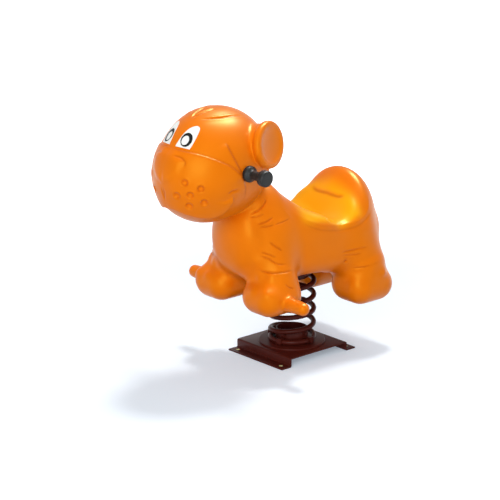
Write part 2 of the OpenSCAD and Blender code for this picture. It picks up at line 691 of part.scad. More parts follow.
// A film over a grid of places, from one lift to another
module film(side, places, cols, rows, lift, t) {
  n = cols * rows;
  points = concat([for (p = places) face_at(side, p[0], p[1], lift)],
    [for (p = places) face_at(side, p[0], p[1], lift + t)]);
  quads = [for (j = [0 : rows - 2]) for (i = [0 : cols - 2]) let (a = j * cols + i)
    [a, a + 1, a + cols + 1, a + cols]];
  rim = concat([for (i = [0 : cols - 2]) [i + 1, i]],
    [for (j = [0 : rows - 2]) [(j + 2) * cols - 1, (j + 1) * cols - 1]],
    [for (i = [0 : cols - 2]) [n - cols + i, n - cols + i + 1]],
    [for (j = [0 : rows - 2]) [j * cols, (j + 1) * cols]]);
  faces = concat(
    [for (q = quads) each [[q[0], q[2], q[1]], [q[0], q[3], q[2]]]],
    [for (q = quads) each [[n + q[0], n + q[1], n + q[2]], [n + q[0], n + q[2], n + q[3]]]],
    [for (e = rim) each [[e[1], e[0], n + e[0]], [e[1], n + e[0], n + e[1]]]]);
  polyhedron(points, side > 0 ? [for (f = faces) [f[0], f[2], f[1]]] : faces);
}

// White of the eye: flat below, round above and leaning outward
function eye_places() = [for (j = [0 : eye_rows - 1]) for (i = [0 : eye_cols - 1]) let (
    s = eye_tip_share * j / (eye_rows - 1), t = 2 * i / (eye_cols - 1) - 1)
  [eye_x + t * eye_w / 2 * sqrt(1 - s * s) + eye_lean * s, eye_up + eye_h * s]];

module eye_white(side) film(side, eye_places(), eye_cols, eye_rows, gap, film_t);
module left_eye_white() color("white") eye_white(1);
module right_eye_white() color("white") eye_white(-1);

// Pupil ring: a band between two ovals on the white film
function ring_spot(a, share, shift) = ring_at + shift * (1 - share)
  + [ring_w * cos(a), ring_h * sin(a)] * share / 2;

module eye_ring(side) {
  n = ring_steps;
  lift = 2 * gap + film_t;
  loops = [for (k = [0 : 3]) for (i = [0 : n - 1]) let (
      p = ring_spot(360 * i / n, k < 2 ? 1 : ring_in_share, ring_shift / (1 - ring_in_share)))
    face_at(side, p[0], p[1], k == 0 || k == 3 ? lift : lift + film_t)];
  faces = [for (k = [0 : 3]) for (i = [0 : n - 1]) let (
      a = k * n + i, b = k * n + (i + 1) % n, c = (k + 1) % 4 * n + (i + 1) % n, d = (k + 1) % 4 * n + i)
    each [[a, b, c], [a, c, d]]];
  polyhedron(loops, side > 0 ? [for (f = faces) [f[0], f[2], f[1]]] : faces);
}

module left_eye_ring() color("black") eye_ring(1);
module right_eye_ring() color("black") eye_ring(-1);

base_plate();
lower_seat();
lower_seat_bolts();
lower_seat_washers();
lower_seat_nuts();
lower_clips();
lower_clip_bolts();
lower_clip_nuts();
coil_spring();
rider_shell();
belly_inserts();
upper_seat();
upper_seat_bolts();
upper_seat_washers();
upper_clips();
upper_clip_bolts();
upper_clip_nuts();
handle_tube();
left_grip();
right_grip();
left_eye_white();
right_eye_white();
left_eye_ring();
right_eye_ring();
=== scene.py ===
"""Spring rider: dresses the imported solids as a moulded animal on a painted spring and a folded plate.

Forms are worked out in millimetres and made in metres. Z is up, the animal faces -Y, its left is +X.
"""

import math

import bmesh
import bpy
import numpy as np
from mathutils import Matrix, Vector


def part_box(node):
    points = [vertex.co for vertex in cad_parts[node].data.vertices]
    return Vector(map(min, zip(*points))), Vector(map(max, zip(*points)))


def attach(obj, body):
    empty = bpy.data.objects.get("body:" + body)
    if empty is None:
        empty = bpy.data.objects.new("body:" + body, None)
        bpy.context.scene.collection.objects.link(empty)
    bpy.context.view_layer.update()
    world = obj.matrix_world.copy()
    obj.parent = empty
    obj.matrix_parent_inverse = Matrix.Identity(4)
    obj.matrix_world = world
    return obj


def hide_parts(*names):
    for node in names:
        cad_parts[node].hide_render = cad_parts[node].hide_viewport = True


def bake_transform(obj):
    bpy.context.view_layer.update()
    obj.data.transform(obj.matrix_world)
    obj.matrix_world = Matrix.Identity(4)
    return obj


bl_info = {
    "name": "Spring rider",
    "version": (1, 0, 0),
    "blender": (4, 5, 0),
    "location": "3D View > Sidebar > Rider",
    "description": "Builds the looks of a playground spring rider round its packed solids",
    "category": "Object",
}

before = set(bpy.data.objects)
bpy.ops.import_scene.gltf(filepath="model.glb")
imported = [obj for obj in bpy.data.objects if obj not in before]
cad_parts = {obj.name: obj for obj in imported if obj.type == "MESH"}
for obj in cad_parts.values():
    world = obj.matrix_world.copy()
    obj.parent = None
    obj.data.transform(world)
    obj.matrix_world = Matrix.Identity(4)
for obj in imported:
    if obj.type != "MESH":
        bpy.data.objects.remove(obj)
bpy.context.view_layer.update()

MM = 0.001
TINY = 1e-9
WELD_GAP = MM / 100
UP = np.array([0.0, 0.0, 1.0])


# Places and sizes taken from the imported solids, in millimetres

def node_box(node):
    """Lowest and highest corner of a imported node."""
    low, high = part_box(node)
    return np.array(low) / MM, np.array(high) / MM


PLATE_LOW, PLATE_HIGH = node_box("base_plate")
SEAT_LOW, SEAT_HIGH = node_box("lower_seat")
ROOF_Z = node_box("upper_seat")[1][2]
COIL_LOW, COIL_HIGH = node_box("coil_spring")
SHELL_LOW, SHELL_HIGH = node_box("rider_shell")
GRIP_LOW, GRIP_HIGH = node_box("left_grip")


# Forms of the moulded body, as its solid has them

HEAD_AT = np.array([0.0, -334.0, 698.0])
HEAD_HALF = np.array([156.0, 190.0, 180.0])
MUZZLE_AT = np.array([0.0, -370.0, 676.0])
MUZZLE_HALF = np.array([158.0, 174.0, 160.0])

EAR_AT = np.array([155.0, -230.0, 768.0])
EAR_YAW = math.radians(16)
EAR_PITCH = math.radians(9)
EAR_R = 75.0
EAR_T = 26.0
EAR_RIM = 20.0
EAR_DISH = 8.0
EAR_ROUND = 11.0
EAR_STEM_R = 67.0
EAR_STEM_L = 75.0

FOOT_R = 56.0
FORE_FOOT = np.array([115.0, -193.0, 256.0])
FORE_SPREAD = np.array([23.0, 30.0, 0.0])
FORE_TOP = np.array([61.0, -160.0, 424.0])
FORE_TOP_R = 71.0
FORE_ANKLE = np.array([109.0, -172.0, 306.0])
FORE_ANKLE_R = 70.0
HIND_FOOT = np.array([117.0, 203.0, 214.0])
HIND_SPREAD = np.array([27.0, 34.0, 0.0])
HIND_TOP = np.array([70.0, 186.0, 350.0])
HIND_TOP_R = 95.0
HIND_ANKLE = np.array([115.0, 199.0, 281.0])
HIND_ANKLE_R = 80.0
PEG_DROP = 8.0
PEG_ROOT_R = 27.0
PEG_TIP_R = 21.0

# Rows of the trunk from chest to rump: place along it, underside and top as shares of its height,
# half width as a share of the widest, squareness of the top, and dish as a share of the seat's dish
CHEST_Y = -297.0
TRUNK_L = 619.0
TRUNK_W = 316.0
BELLY_Z = 262.0
TRUNK_H = 319.0
SEAT_DISH = 34.0
WAIST_SHARE = 0.45
UNDER_SQUARE = 2.7
TRUNK_ROWS_SHARES = np.array([
    [0.000, 0.545, 0.545, 0.00, 2.0, 0.00],
    [0.020, 0.307, 0.765, 0.38, 2.0, 0.00],
    [0.070, 0.170, 0.953, 0.58, 2.0, 0.00],
    [0.144, 0.100, 1.128, 0.71, 2.1, 0.00],
    [0.238, 0.069, 1.110, 0.81, 2.2, 0.00],
    [0.325, 0.038, 0.958, 0.87, 2.4, 0.04],
    [0.418, 0.019, 0.822, 0.93, 3.4, 0.40],
    [0.515, 0.009, 0.725, 0.96, 5.0, 0.90],
    [0.601, 0.003, 0.633, 0.98, 5.0, 1.00],
    [0.674, 0.000, 0.665, 0.99, 5.0, 0.88],
    [0.748, 0.000, 0.852, 1.00, 2.6, 0.22],
    [0.822, 0.019, 1.000, 0.94, 2.15, 0.00],
    [0.900, 0.088, 0.922, 0.74, 2.2, 0.00],
    [0.964, 0.213, 0.652, 0.47, 2.1, 0.00],
    [1.000, 0.433, 0.433, 0.00, 2.0, 0.00],
])
ROW_SAMPLES = 40
CHEST_EGG_AT = np.array([0.0, -237.0, 436.0])
CHEST_EGG_HALF = np.array([104.0, 60.0, 124.0])
RUMP_EGG_AT = np.array([0.0, 252.0, 400.0])
RUMP_EGG_HALF = np.array([118.0, 70.0, 97.0])
END_TRIM = 8.0
POCKET_R = 117.0


# The photograph's camera, so that details can be placed by the pixel where they are seen

PHOTO_SIDE = 500
PHOTO_LENS = 180.0
PHOTO_SENSOR = 36.0
PHOTO_AZIMUTH = 48.5
PHOTO_ELEVATION = 17.4
PHOTO_DISTANCE = 8000.0
PHOTO_AIM = np.array([0.0, -184.0, 380.0])

# A ray starts this far before the aim and takes so many strides, each a share of the distance that is left
RAY_LEAD = 700.0
RAY_STRIDES = 160
RAY_STRIDE_SHARE = 0.6
RAY_STRIDE_MOST = 30.0
# Points settle on the surface in a few passes, by no more than this in each
SETTLE_PASSES = 2
FILM_PASSES = 3
SETTLE_MOST = 20.0


def camera_axes():
    """Directions from the aim to the camera, to the picture's right and up."""
    a = math.radians(PHOTO_AZIMUTH)
    e = math.radians(PHOTO_ELEVATION)
    back = np.array([math.sin(a) * math.cos(e), -math.cos(a) * math.cos(e), math.sin(e)])
    right = np.array([math.cos(a), math.sin(a), 0.0])
    return back, right, np.cross(back, right)


# Distance fields, in millimetres, of points given as rows

def smooth_union(a, b, fillet):
    """Union of two fields with a fillet between them."""
    share = np.clip(0.5 + 0.5 * (b - a) / fillet, 0, 1)
    return b + (a - b) * share - fillet * share * (1 - share)


def smooth_cut(a, b, fillet):
    """Field a without field b, with a rounded edge."""
    return -smooth_union(-a, b, fillet)


def smooth_step(value, low, high):
    """Zero below low, one above high, and smooth between."""
    t = np.clip((value - low) / (high - low), 0, 1)
    return t * t * (3 - 2 * t)


def egg(p, at, half):
    """Distance to an egg form of three half sizes."""
    q = (p - at) / half
    near = np.linalg.norm(q, axis=1)
    return near * (near - 1) / np.maximum(np.linalg.norm(q / half, axis=1), TINY)


def limb(p, a, a_r, b, b_r):
    """Distance to a limb between two balls."""
    along = b - a
    t = np.clip((p - a) @ along / (along @ along), 0, 1)
    return np.linalg.norm(p - a - t[:, None] * along, axis=1) - a_r - t * (b_r - a_r)


def boot(p, at, spread, r):
    """Distance to a foot over four balls."""
    q = np.abs(p - at) - spread
    return np.linalg.norm(np.maximum(q, 0), axis=1) + np.minimum(q.max(1), 0) - r


def curve_between(a, b, c, d, u):
    """A smooth curve from b to c at shares u, as a leads into it and d out of it."""
    cubic = 3 * b - a - 3 * c + d
    return (2 * b + (c - a) * u + (2 * a - 5 * b + 4 * c - d) * u ** 2 + cubic * u ** 3) / 2


def row_table():
    """The trunk's rows drawn out to many, by a smooth curve through them."""
    rows = TRUNK_ROWS_SHARES
    last = len(rows) - 1
    t = np.arange(last * ROW_SAMPLES + 1) / ROW_SAMPLES
    i = np.minimum(t.astype(int), last - 1)
    before, after = rows[np.maximum(i - 1, 0)], rows[np.minimum(i + 2, last)]
    return curve_between(before, rows[i], rows[i + 1], after, (t - i)[:, None])


ROW_TABLE = row_table()
ROW_Y = CHEST_Y + TRUNK_L * ROW_TABLE[:, 0]


def trunk_level(p):
    """Level of the trunk's rings at each point: below zero inside."""
    x = np.abs(p[:, 0])
    low, high, half, square, dish = (np.interp(p[:, 1], ROW_Y, ROW_TABLE[:, k]) for k in range(1, 6))
    half = np.maximum(half * TRUNK_W / 2, 1)
    waist = BELLY_Z + TRUNK_H * (low + (high - low) * WAIST_SHARE)
    rise = np.maximum(BELLY_Z + TRUNK_H * high - waist, 1)
    fall = np.maximum(waist - BELLY_Z - TRUNK_H * low, 1)
    across = np.minimum(x / half, 1)
    sunk = dish * SEAT_DISH * np.cos(across * math.pi / 2) ** 2
    over = p[:, 2] - waist
    lift = np.maximum(np.where(over > 0, (over + sunk) / rise, -over / fall), 0)
    power = np.where(over > 0, square, UNDER_SQUARE)
    return ((x / half) ** power + lift ** power) ** (1 / power) - 1


def trunk(p):
    """Distance to the trunk, from its level and the slope across it; an egg rounds off each end."""
    level = trunk_level(p)
    slope = np.hypot(*(trunk_level(p + step) - level for step in (np.eye(3)[0], UP)))
    distance = np.clip(level / np.maximum(slope, TINY), -TRUNK_W, TRUNK_L)
    ends = np.maximum(ROW_Y[0] - p[:, 1], p[:, 1] - ROW_Y[-1])
    caps = np.minimum(egg(p, CHEST_EGG_AT, CHEST_EGG_HALF), egg(p, RUMP_EGG_AT, RUMP_EGG_HALF))
    return smooth_union(np.maximum(distance, ends + END_TRIM), caps, END_TRIM)


def rounded_disc(radius, depth, r, t):
    """Distance to a disc with rounded edges, from its axis and its face."""
    q = np.stack([radius - r + EAR_ROUND, np.abs(depth + t / 2) - t / 2 + EAR_ROUND], 1)
    return np.linalg.norm(np.maximum(q, 0), axis=1) + np.minimum(q.max(1), 0) - EAR_ROUND


def ear(p):
    """Distance to an ear: a dished disc on a stem."""
    out = np.array([math.cos(EAR_PITCH) * math.cos(EAR_YAW), math.cos(EAR_PITCH) * math.sin(EAR_YAW),
                    math.sin(EAR_PITCH)])
    depth = (p - EAR_AT) @ out
    radius = np.linalg.norm(p - EAR_AT - depth[:, None] * out, axis=1)
    disc = rounded_disc(radius, depth, EAR_R, EAR_T)
    stem = rounded_disc(radius, depth + EAR_T / 2, EAR_STEM_R, EAR_STEM_L)
    flat = np.stack([radius, np.zeros_like(radius), depth], 1)
    dish_r = EAR_R - EAR_RIM
    dish = egg(flat, np.zeros(3), np.array([dish_r, dish_r, EAR_DISH]))
    return smooth_cut(smooth_union(disc, stem, EAR_ROUND / 2), dish, EAR_ROUND / 3)


def peg(p):
    """Distance to a tapered foot peg with a rounded end."""
    root = FORE_FOOT - PEG_DROP * UP
    tip = np.array([SHELL_HIGH[0] - PEG_TIP_R, root[1], root[2]])
    return limb(p, root + [FOOT_R / 2, 0, 0], PEG_ROOT_R, tip, PEG_TIP_R)


def body_field(points):
    """Distance to the whole moulded body, the same on both sides."""
    sizes = bpy.context.scene.rider_body
    p = np.column_stack([np.abs(points[:, 0]), points[:, 1:]])
    fore = smooth_union(limb(p, FORE_TOP, FORE_TOP_R, FORE_ANKLE, FORE_ANKLE_R),
                        boot(p, FORE_FOOT, FORE_SPREAD, FOOT_R), sizes.ankle_fillet / MM)
    fore = smooth_union(fore, peg(p), sizes.peg_fillet / MM)
    hind = smooth_union(limb(p, HIND_TOP, HIND_TOP_R, HIND_ANKLE, HIND_ANKLE_R),
                        boot(p, HIND_FOOT, HIND_SPREAD, FOOT_R), sizes.ankle_fillet / MM)
    body = smooth_union(trunk(p), np.minimum(fore, hind), sizes.leg_fillet / MM)
    head = smooth_union(egg(p, HEAD_AT, HEAD_HALF), egg(p, MUZZLE_AT, MUZZLE_HALF),
                        sizes.muzzle_fillet / MM)
    head = smooth_union(head, ear(p), sizes.ear_fillet / MM)
    whole = smooth_union(body, head, sizes.neck_fillet / MM)
    pocket = np.maximum(np.hypot(p[:, 0], p[:, 1]) - POCKET_R, p[:, 2] - ROOF_Z)
    return smooth_cut(whole, pocket, sizes.pocket_edge / MM)


def body_normal(points):
    """Outward direction and slope of the body's field at each point."""
    slope = np.stack([body_field(points + step) - body_field(points - step) for step in np.eye(3)], 1) / 2
    size = np.maximum(np.linalg.norm(slope, axis=1), TINY)
    return slope / size[:, None], size


def to_surface(points, passes):
    """Points moved onto the body's surface."""
    for _ in range(passes):
        out, slope = body_normal(points)
        away = np.clip(body_field(points) / slope, -SETTLE_MOST, SETTLE_MOST)
        points = points - out * away[:, None]
    return points


def seen_at(pixels):
    """Where the photograph's pixels lie on the body."""
    back, right, up = camera_axes()
    pixels = np.asarray(pixels, float)
    reach = PHOTO_SIDE * PHOTO_LENS / PHOTO_SENSOR
    across = (pixels - PHOTO_SIDE / 2) / reach
    rays = across[:, :1] * right - across[:, 1:] * up - back
    rays /= np.linalg.norm(rays, axis=1)[:, None]
    points = PHOTO_AIM + back * PHOTO_DISTANCE + rays * (PHOTO_DISTANCE - RAY_LEAD)
    for _ in range(RAY_STRIDES):
        left = np.clip(body_field(points), -RAY_STRIDE_MOST, RAY_STRIDE_MOST)
        points = points + rays * left[:, None] * RAY_STRIDE_SHARE
    return points


def surface_net(field, low, step):
    """Quads through the zero level of a sampled field, with one point in each cell that it crosses."""
    inside = field < 0
    shape = np.array(field.shape) - 1
    corners = [np.array([i, j, k]) for i in (0, 1) for j in (0, 1) for k in (0, 1)]
    window = [tuple(slice(c[k], c[k] + shape[k]) for k in range(3)) for c in corners]
    count = sum(inside[w].astype(np.int8) for w in window)
    crossed = (count > 0) & (count < len(corners))
    cells = np.argwhere(crossed)
    index = np.full(shape, -1)
    index[crossed] = np.arange(len(cells))
    total = np.zeros((len(cells), 3))
    hits = np.zeros(len(cells))
    for a in corners:
        for unit in np.eye(3, dtype=int):
            if a @ unit:
                continue
            fa = field[tuple((cells + a).T)]
            fb = field[tuple((cells + a + unit).T)]
            cross = (fa < 0) != (fb < 0)
            t = np.where(cross, fa / np.where(cross, fa - fb, 1), 0)
            total += cross[:, None] * (cells + a + t[:, None] * unit)
            hits += cross
    quads = []
    for axis in range(3):
        unit, u, v = np.roll(np.eye(3, dtype=int), -axis, axis=0)
        size = inside.shape[axis]
        change = np.take(inside, range(size - 1), axis) != np.take(inside, range(1, size), axis)
        edges = np.argwhere(change)
        edges = edges[(edges @ u > 0) & (edges @ v > 0) & (edges @ u < shape @ u) & (edges @ v < shape @ v)]
        ring = [index[tuple((edges - a * u - b * v).T)] for a, b in ((1, 1), (0, 1), (0, 0), (1, 0))]
        quad = np.stack(ring, 1)
        outward = inside[tuple(edges.T)]
        quads.append(np.where(outward[:, None], quad, quad[:, ::-1]))
    return low + step * total / hits[:, None], np.concatenate(quads)


# Details of the moulded body, by the pixel where the photograph shows them: what each line is, its half
# width and its depth in millimetres; a line with a negative depth is a ridge
CREASES = {
    "hair_side": ([(200, 120.2), (222, 117.5), (243, 116)], 3.5, 4.0),
    "hair_top": ([(191, 118.5), (201, 113.4), (216, 108.5)], 3.5, 3.5),
    "philtrum": ([(163.5, 187), (164.8, 196), (166.5, 206)], 3.0, 2.2),
    "mouth_corner": ([(227.8, 194.5), (233, 191.2), (238.5, 189.6)], 3.5, 3.0),
    "neck_1": ([(250, 214), (259, 210), (265, 203), (267, 197)], 3.1, 3.4),
    "neck_2": ([(249.7, 217), (258, 216.3), (265, 213.5)], 2.4, 1.9),
    "neck_3": ([(257, 224.6), (266, 222), (274, 217)], 2.8, 3.0),
    "neck_4": ([(259, 226.8), (267, 226.6), (275, 224.5)], 2.4, 1.9),
    "neck_tick": ([(283.5, 210.5), (287, 214), (291, 218.5)], 2.4, -1.9),
    "neck_fold": ([(274, 225), (283, 222), (290, 218.5)], 2.5, 1.5),
    "shoulder": ([(269.3, 241.4), (275, 246), (283, 251)], 3.1, 2.6),
    "fore_1": ([(260.4, 252), (268, 254.2), (277, 257.5)], 2.5, 2.1),
    "fore_2": ([(259, 255.7), (268, 258.5), (277.5, 263.8), (288, 264.5)], 2.8, 2.4),
    "fore_3": ([(256, 269.6), (264, 272), (274, 273), (286, 272), (296, 269)], 3.1, 3.0),
    "fore_4": ([(285, 284), (289, 287), (294, 289)], 2.5, 1.9),
    "hind_1": ([(340.8, 253), (352, 250.2), (368, 246.5)], 2.8, 2.6),
    "hind_2": ([(342, 255.5), (353, 255), (362, 253.2)], 2.4, 1.5),
    "hind_3": ([(351, 268), (364, 267), (378, 262.5)], 2.8, 2.1),
    "lumbar": ([(320.5, 188), (325.7, 192.2), (331.5, 194.8), (338, 196.6), (345.5, 196.2)], 7.0, 1.9),
    "nose_wing": ([(173, 156), (181, 158), (185.2, 162.5), (183.5, 168)], 3.0, 1.4),
    "seat_rim": ([(292, 211.5), (308.5, 221.2), (325, 225.5), (342, 225), (358.5, 220.5), (366, 212.5),
                  (368.5, 201), (366.5, 190)], 5.0, -2.6),
    "seat_line": ([(300, 222), (312, 227.5), (326, 230.4), (343, 230), (359, 225), (369, 215),
                   (371.5, 203)], 3.4, 0.8),
}
# Steps: the line, its half width, how far one side of it stands out, and how far that side takes to fade
STEPS = {
    "brow": ([(167, 146.8), (182.9, 151.1), (201.2, 155.2), (216.5, 160.3), (231.8, 167.4), (242, 177),
              (245, 185), (245, 197)], 4.0, -3.5, 50.0),
    "cheek": ([(225.7, 142.4), (231.8, 154.2), (240, 170), (244, 178)], 5.0, -4.0, 30.0),
    "mouth": ([(167.5, 207.6), (175, 209), (186, 213.4), (201, 217), (211, 217), (221.6, 213.4),
               (229.8, 206), (233.4, 199), (231.8, 195.5)], 3.2, 8.5, 36.0),
}
# Soft bumps: middle, radius and height
BUMPS = {
    "toe_inner": ((252.5, 291), 17.0, 5.0),
    "toe_outer": ((266, 296), 17.0, 5.0),
    "knuckle_inner": ((259.5, 278), 13.0, 4.0),
    "knuckle_outer": ((271.5, 278), 13.0, 4.0),
    "knee": ((258.5, 262), 22.0, 5.0),
    "heel": ((383, 272), 17.0, 8.0),
    "hind_side": ((355, 283), 26.0, 4.0),
    "lumbar_pad": ((331.6, 182), 44.0, 6.0),
}
DIMPLES = {
    "whisker_1": (184.6, 183.0),
    "whisker_2": (200.9, 189.1),
    "whisker_3": (177.0, 195.7),
    "whisker_4": (190.2, 195.5),
    "whisker_5": (204.1, 202.7),
    "whisker_6": (189.5, 205.7),
}
VENT_AT = (345.6, 261.4)
# Half outline of the raised nose, sideways and up, and how its edge rises from outside to inside
NOSE_OUTLINE = np.array([(-27, 766), (27, 766), (62, 746), (57, 706), (30, 680), (0, 670)], float)
NOSE_EDGE = (-8.0, 16.0)
# The white of the eye: its straight lower edge, then the curve round it
EYE_STRAIGHT = [(175.5, 146.2), (180.5, 147.4), (185.5, 148.6), (189.6, 149.6)]
EYE_CURVE = [(189.6, 149.6), (193.4, 143.5), (197.2, 136.2), (200, 129.4), (198.8, 126.9), (195.9, 126.3),
             (190.4, 128.2), (185.4, 132.2), (181.4, 137), (178, 141.8), (175.5, 146.2)]
RING_AT = (186.7, 140.0)
RING_HALF = (5.4, 7.5)
RING_HOLE_AT = (185.4, 140.5)
RING_HOLE_HALF = (3.4, 5.1)
RING_TILT = math.radians(32)

# How a detail lies across its line or middle, in its own half widths, and how its ends fade along it
CREASE_REACH = 4.0
CREASE_ENDS = (-0.02, 0.22)
LIP_AT = 2.0
STEP_REACH = 3.0
STEP_ENDS = (-0.02, 0.12)
DIMPLE_FLOOR = 0.35
DIMPLE_LIP_AT = 1.15
DIMPLE_LIP_HALF = 0.3
# Painted shade in and round the dimples, and in the vent
DIMPLE_SHADE = 0.6
DIMPLE_SHADE_AT = 0.7
DIMPLE_SHADE_HALF = 0.25
VENT_SHADE = 1.5
NO_VENT = 9.0

# Where the painted top light on the seat begins and where it is full: in from its edge, along it, up it,
# and by the upward part of the surface's direction, so that it is lighter where the dish faces up
SEAT_EDGE = (2.0, 16.0)
SEAT_FRONT = (-95.0, -45.0)
SEAT_BACK = (190.0, 150.0)
SEAT_BOTTOM = (395.0, 420.0)
SEAT_TOP = (590.0, 560.0)
SEAT_LIGHT_FACING = (0.05, 0.5)


def smooth_line(points, spacing):
    """A smooth curve through points, with points about one spacing apart."""
    p = np.concatenate([[2 * points[0] - points[1]], points, [2 * points[-1] - points[-2]]])
    out = []
    for a, b, c, d in zip(p[:-3], p[1:-2], p[2:-1], p[3:]):
        n = max(2, math.ceil(np.linalg.norm(c - b) / spacing))
        out.append(curve_between(a, b, c, d, (np.arange(n) / n)[:, None]))
    return np.concatenate(out + [points[-1:]])


def along_line(points, out, line, reach):
    """Points within reach of a line: which they are, and the distance, side and part along it of each."""
    near = np.all((points > line.min(0) - reach) & (points < line.max(0) + reach), axis=1)
    found = np.nonzero(near)[0]
    p = points[found]
    best = np.full(len(p), np.inf)
    side = np.zeros(len(p))
    part = np.zeros(len(p))
    spans = np.diff(line, axis=0)
    lengths = np.linalg.norm(spans, axis=1)
    starts = np.concatenate([[0], np.cumsum(lengths)[:-1]])
    for a, span, length, start in zip(line, spans, lengths, starts):
        t = np.clip((p - a) @ span / length ** 2, 0, 1)
        away = p - a - t[:, None] * span
        d = np.linalg.norm(away, axis=1)
        closer = d < best
        best = np.where(closer, d, best)
        across = np.einsum("ij,ij->i", away, np.cross(out[found], span / length))
        side = np.where(closer, across, side)
        part = np.where(closer, (start + t * length) / lengths.sum(), part)
    keep = best < reach
    return found[keep], best[keep], side[keep], part[keep]


def polygon_depth(x, z, outline):
    """Distance inside a closed outline, below zero outside."""
    best = np.full(len(x), np.inf)
    inside = np.zeros(len(x), bool)
    p = np.stack([x, z], 1)
    for a, b in zip(outline, np.roll(outline, -1, 0)):
        t = np.clip((p - a) @ (b - a) / ((b - a) @ (b - a)), 0, 1)
        best = np.minimum(best, np.linalg.norm(p - a - t[:, None] * (b - a), axis=1))
        spans = (a[1] > z) != (b[1] > z)
        rise = b[1] - a[1] if b[1] != a[1] else TINY
        inside ^= spans & (x < a[0] + (z - a[1]) * (b[0] - a[0]) / rise)
    return np.where(inside, best, -best)


def bell(away, half):
    """One in the middle of a detail, and next to nothing two half widths away."""
    return np.exp(-(away / half) ** 2)


def add_creases(folded, facing, height, crease_shade):
    """Cuts the creases between their lips and raises the ridges, and paints shade into the creases."""
    sizes = bpy.context.scene.rider_body
    for pixels, half, depth in CREASES.values():
        line = smooth_line(seen_at(pixels), sizes.mesh_step / MM)
        found, away, _, part = along_line(folded, facing, line, CREASE_REACH * half)
        ends = smooth_step(np.minimum(part, 1 - part), *CREASE_ENDS)
        groove = bell(away, half) * ends
        height[found] -= depth * groove
        if depth > 0:
            height[found] += depth * sizes.lip_share * bell(away - LIP_AT * half, half) * ends
            # Painted shade: the deeper the groove, the darker its colour
            shade = groove * min(1, depth / (sizes.full_depth / MM))
            crease_shade[found] = np.maximum(crease_shade[found], shade)


def add_steps(folded, facing, height, crease_shade):
    """Raises one side of each step, with a groove along its line that gets painted shade."""
    sizes = bpy.context.scene.rider_body
    for pixels, half, rise, fade in STEPS.values():
        line = smooth_line(seen_at(pixels), sizes.mesh_step / MM)
        found, away, side, part = along_line(folded, facing, line, STEP_REACH * fade)
        ends = smooth_step(np.minimum(part, 1 - part), *STEP_ENDS)
        ledge = smooth_step(side * math.copysign(1, rise), -half, half) * bell(away, fade)
        groove = bell(away, half)
        height[found] += abs(rise) * (ledge - sizes.lip_share * groove) * ends
        # Painted shade along the step's groove
        crease_shade[found] = np.maximum(crease_shade[found], groove * ends)


def add_spots(folded, left, height, crease_shade):
    """Raises the soft bumps and the nose, and sinks the dimples and, on the left side, the vent, with
    painted shade in the dimples and the vent.
    """
    sizes = bpy.context.scene.rider_body
    depth, dimple_r = sizes.dimple_depth / MM, sizes.dimple_width / MM / 2
    for pixel, radius, rise in BUMPS.values():
        height += rise * bell(np.linalg.norm(folded - seen_at([pixel]), axis=1), radius)
    for pixel in DIMPLES.values():
        away = np.linalg.norm(folded - seen_at([pixel]), axis=1) / dimple_r
        height -= depth * smooth_step(away, 1, DIMPLE_FLOOR)
        height += depth * sizes.lip_share * bell(away - DIMPLE_LIP_AT, DIMPLE_LIP_HALF)
        # Painted shade in each dimple
        np.maximum(crease_shade, DIMPLE_SHADE * bell(away - DIMPLE_SHADE_AT, DIMPLE_SHADE_HALF), out=crease_shade)
    away = np.linalg.norm(folded - seen_at([VENT_AT]), axis=1) / (sizes.vent_width / MM)
    vent = bell(away + np.where(left, 0, NO_VENT), 1)
    height -= depth * vent
    # Painted shade in the vent
    np.maximum(crease_shade, VENT_SHADE * vent, out=crease_shade)
    nose = smooth_step(polygon_depth(folded[:, 0], folded[:, 2], NOSE_OUTLINE), *NOSE_EDGE)
    height += np.where(folded[:, 1] < MUZZLE_AT[1], sizes.nose_relief / MM * nose, 0)


def detail_heights(points, out):
    """Height of every moulded detail above the plain body, and how much painted shade each point gets in
    the creases, steps, dimples and vent.
    """
    left = points[:, 0] >= 0
    mirror = np.where(left[:, None], 1.0, [-1.0, 1.0, 1.0])
    folded, facing = points * mirror, out * mirror
    height, crease_shade = np.zeros(len(points)), np.zeros(len(points))
    add_creases(folded, facing, height, crease_shade)
    add_steps(folded, facing, height, crease_shade)
    add_spots(folded, left, height, crease_shade)
    return height, np.clip(crease_shade, 0, 1)


def seat_light_share(points, out):
    """Where light is painted on the seat: the dished top between neck and back rest, fullest where it faces
    up.
    """
    x, y, z = np.abs(points[:, 0]), points[:, 1], points[:, 2]
    half = np.interp(y, ROW_Y, ROW_TABLE[:, 3]) * TRUNK_W / 2
    along = smooth_step(y, *SEAT_FRONT) * smooth_step(y, *SEAT_BACK)
    upper = smooth_step(z, *SEAT_BOTTOM) * smooth_step(z, *SEAT_TOP)
    return smooth_step(half - x, *SEAT_EDGE) * along * upper * smooth_step(out[:, 2], *SEAT_LIGHT_FACING)


# Meshes

def linear(code):
    """A colour in linear light from its sRGB hex code."""
    parts = [int(code[i:i + 2], 16) / 255 for i in (1, 3, 5)]
    return tuple(c / 12.92 if c <= 0.04045 else ((c + 0.055) / 1.055) ** 2.4 for c in parts)


def make_piece(name, points, faces, material, sharp=None):
    """A smooth-shaded object from points in millimetres; edges past a sharp angle stay crisp."""
    mesh = bpy.data.meshes.new(name)
    mesh.from_pydata((np.asarray(points) * MM).tolist(), [], [list(map(int, f)) for f in faces])
    mesh.validate()
    mesh.shade_smooth()
    if sharp:
        mesh.set_sharp_from_angle(angle=math.radians(sharp))
    mesh.materials.append(material)
    piece = bpy.data.objects.new(name, mesh)
    bpy.context.scene.collection.objects.link(piece)
    return piece


def with_modifiers(piece):
    """The piece with its modifiers made into its own mesh."""
    graph = bpy.context.evaluated_depsgraph_get()
    mesh = bpy.data.meshes.new_from_object(piece.evaluated_get(graph))
    piece.modifiers.clear()
    piece.data = mesh
    return piece


def mesh_points(mesh):
    """A mesh's points as rows, in millimetres."""
    co = np.zeros(len(mesh.vertices) * 3, np.float32)
    mesh.vertices.foreach_get("co", co)
    return co.reshape(-1, 3).astype(float) / MM


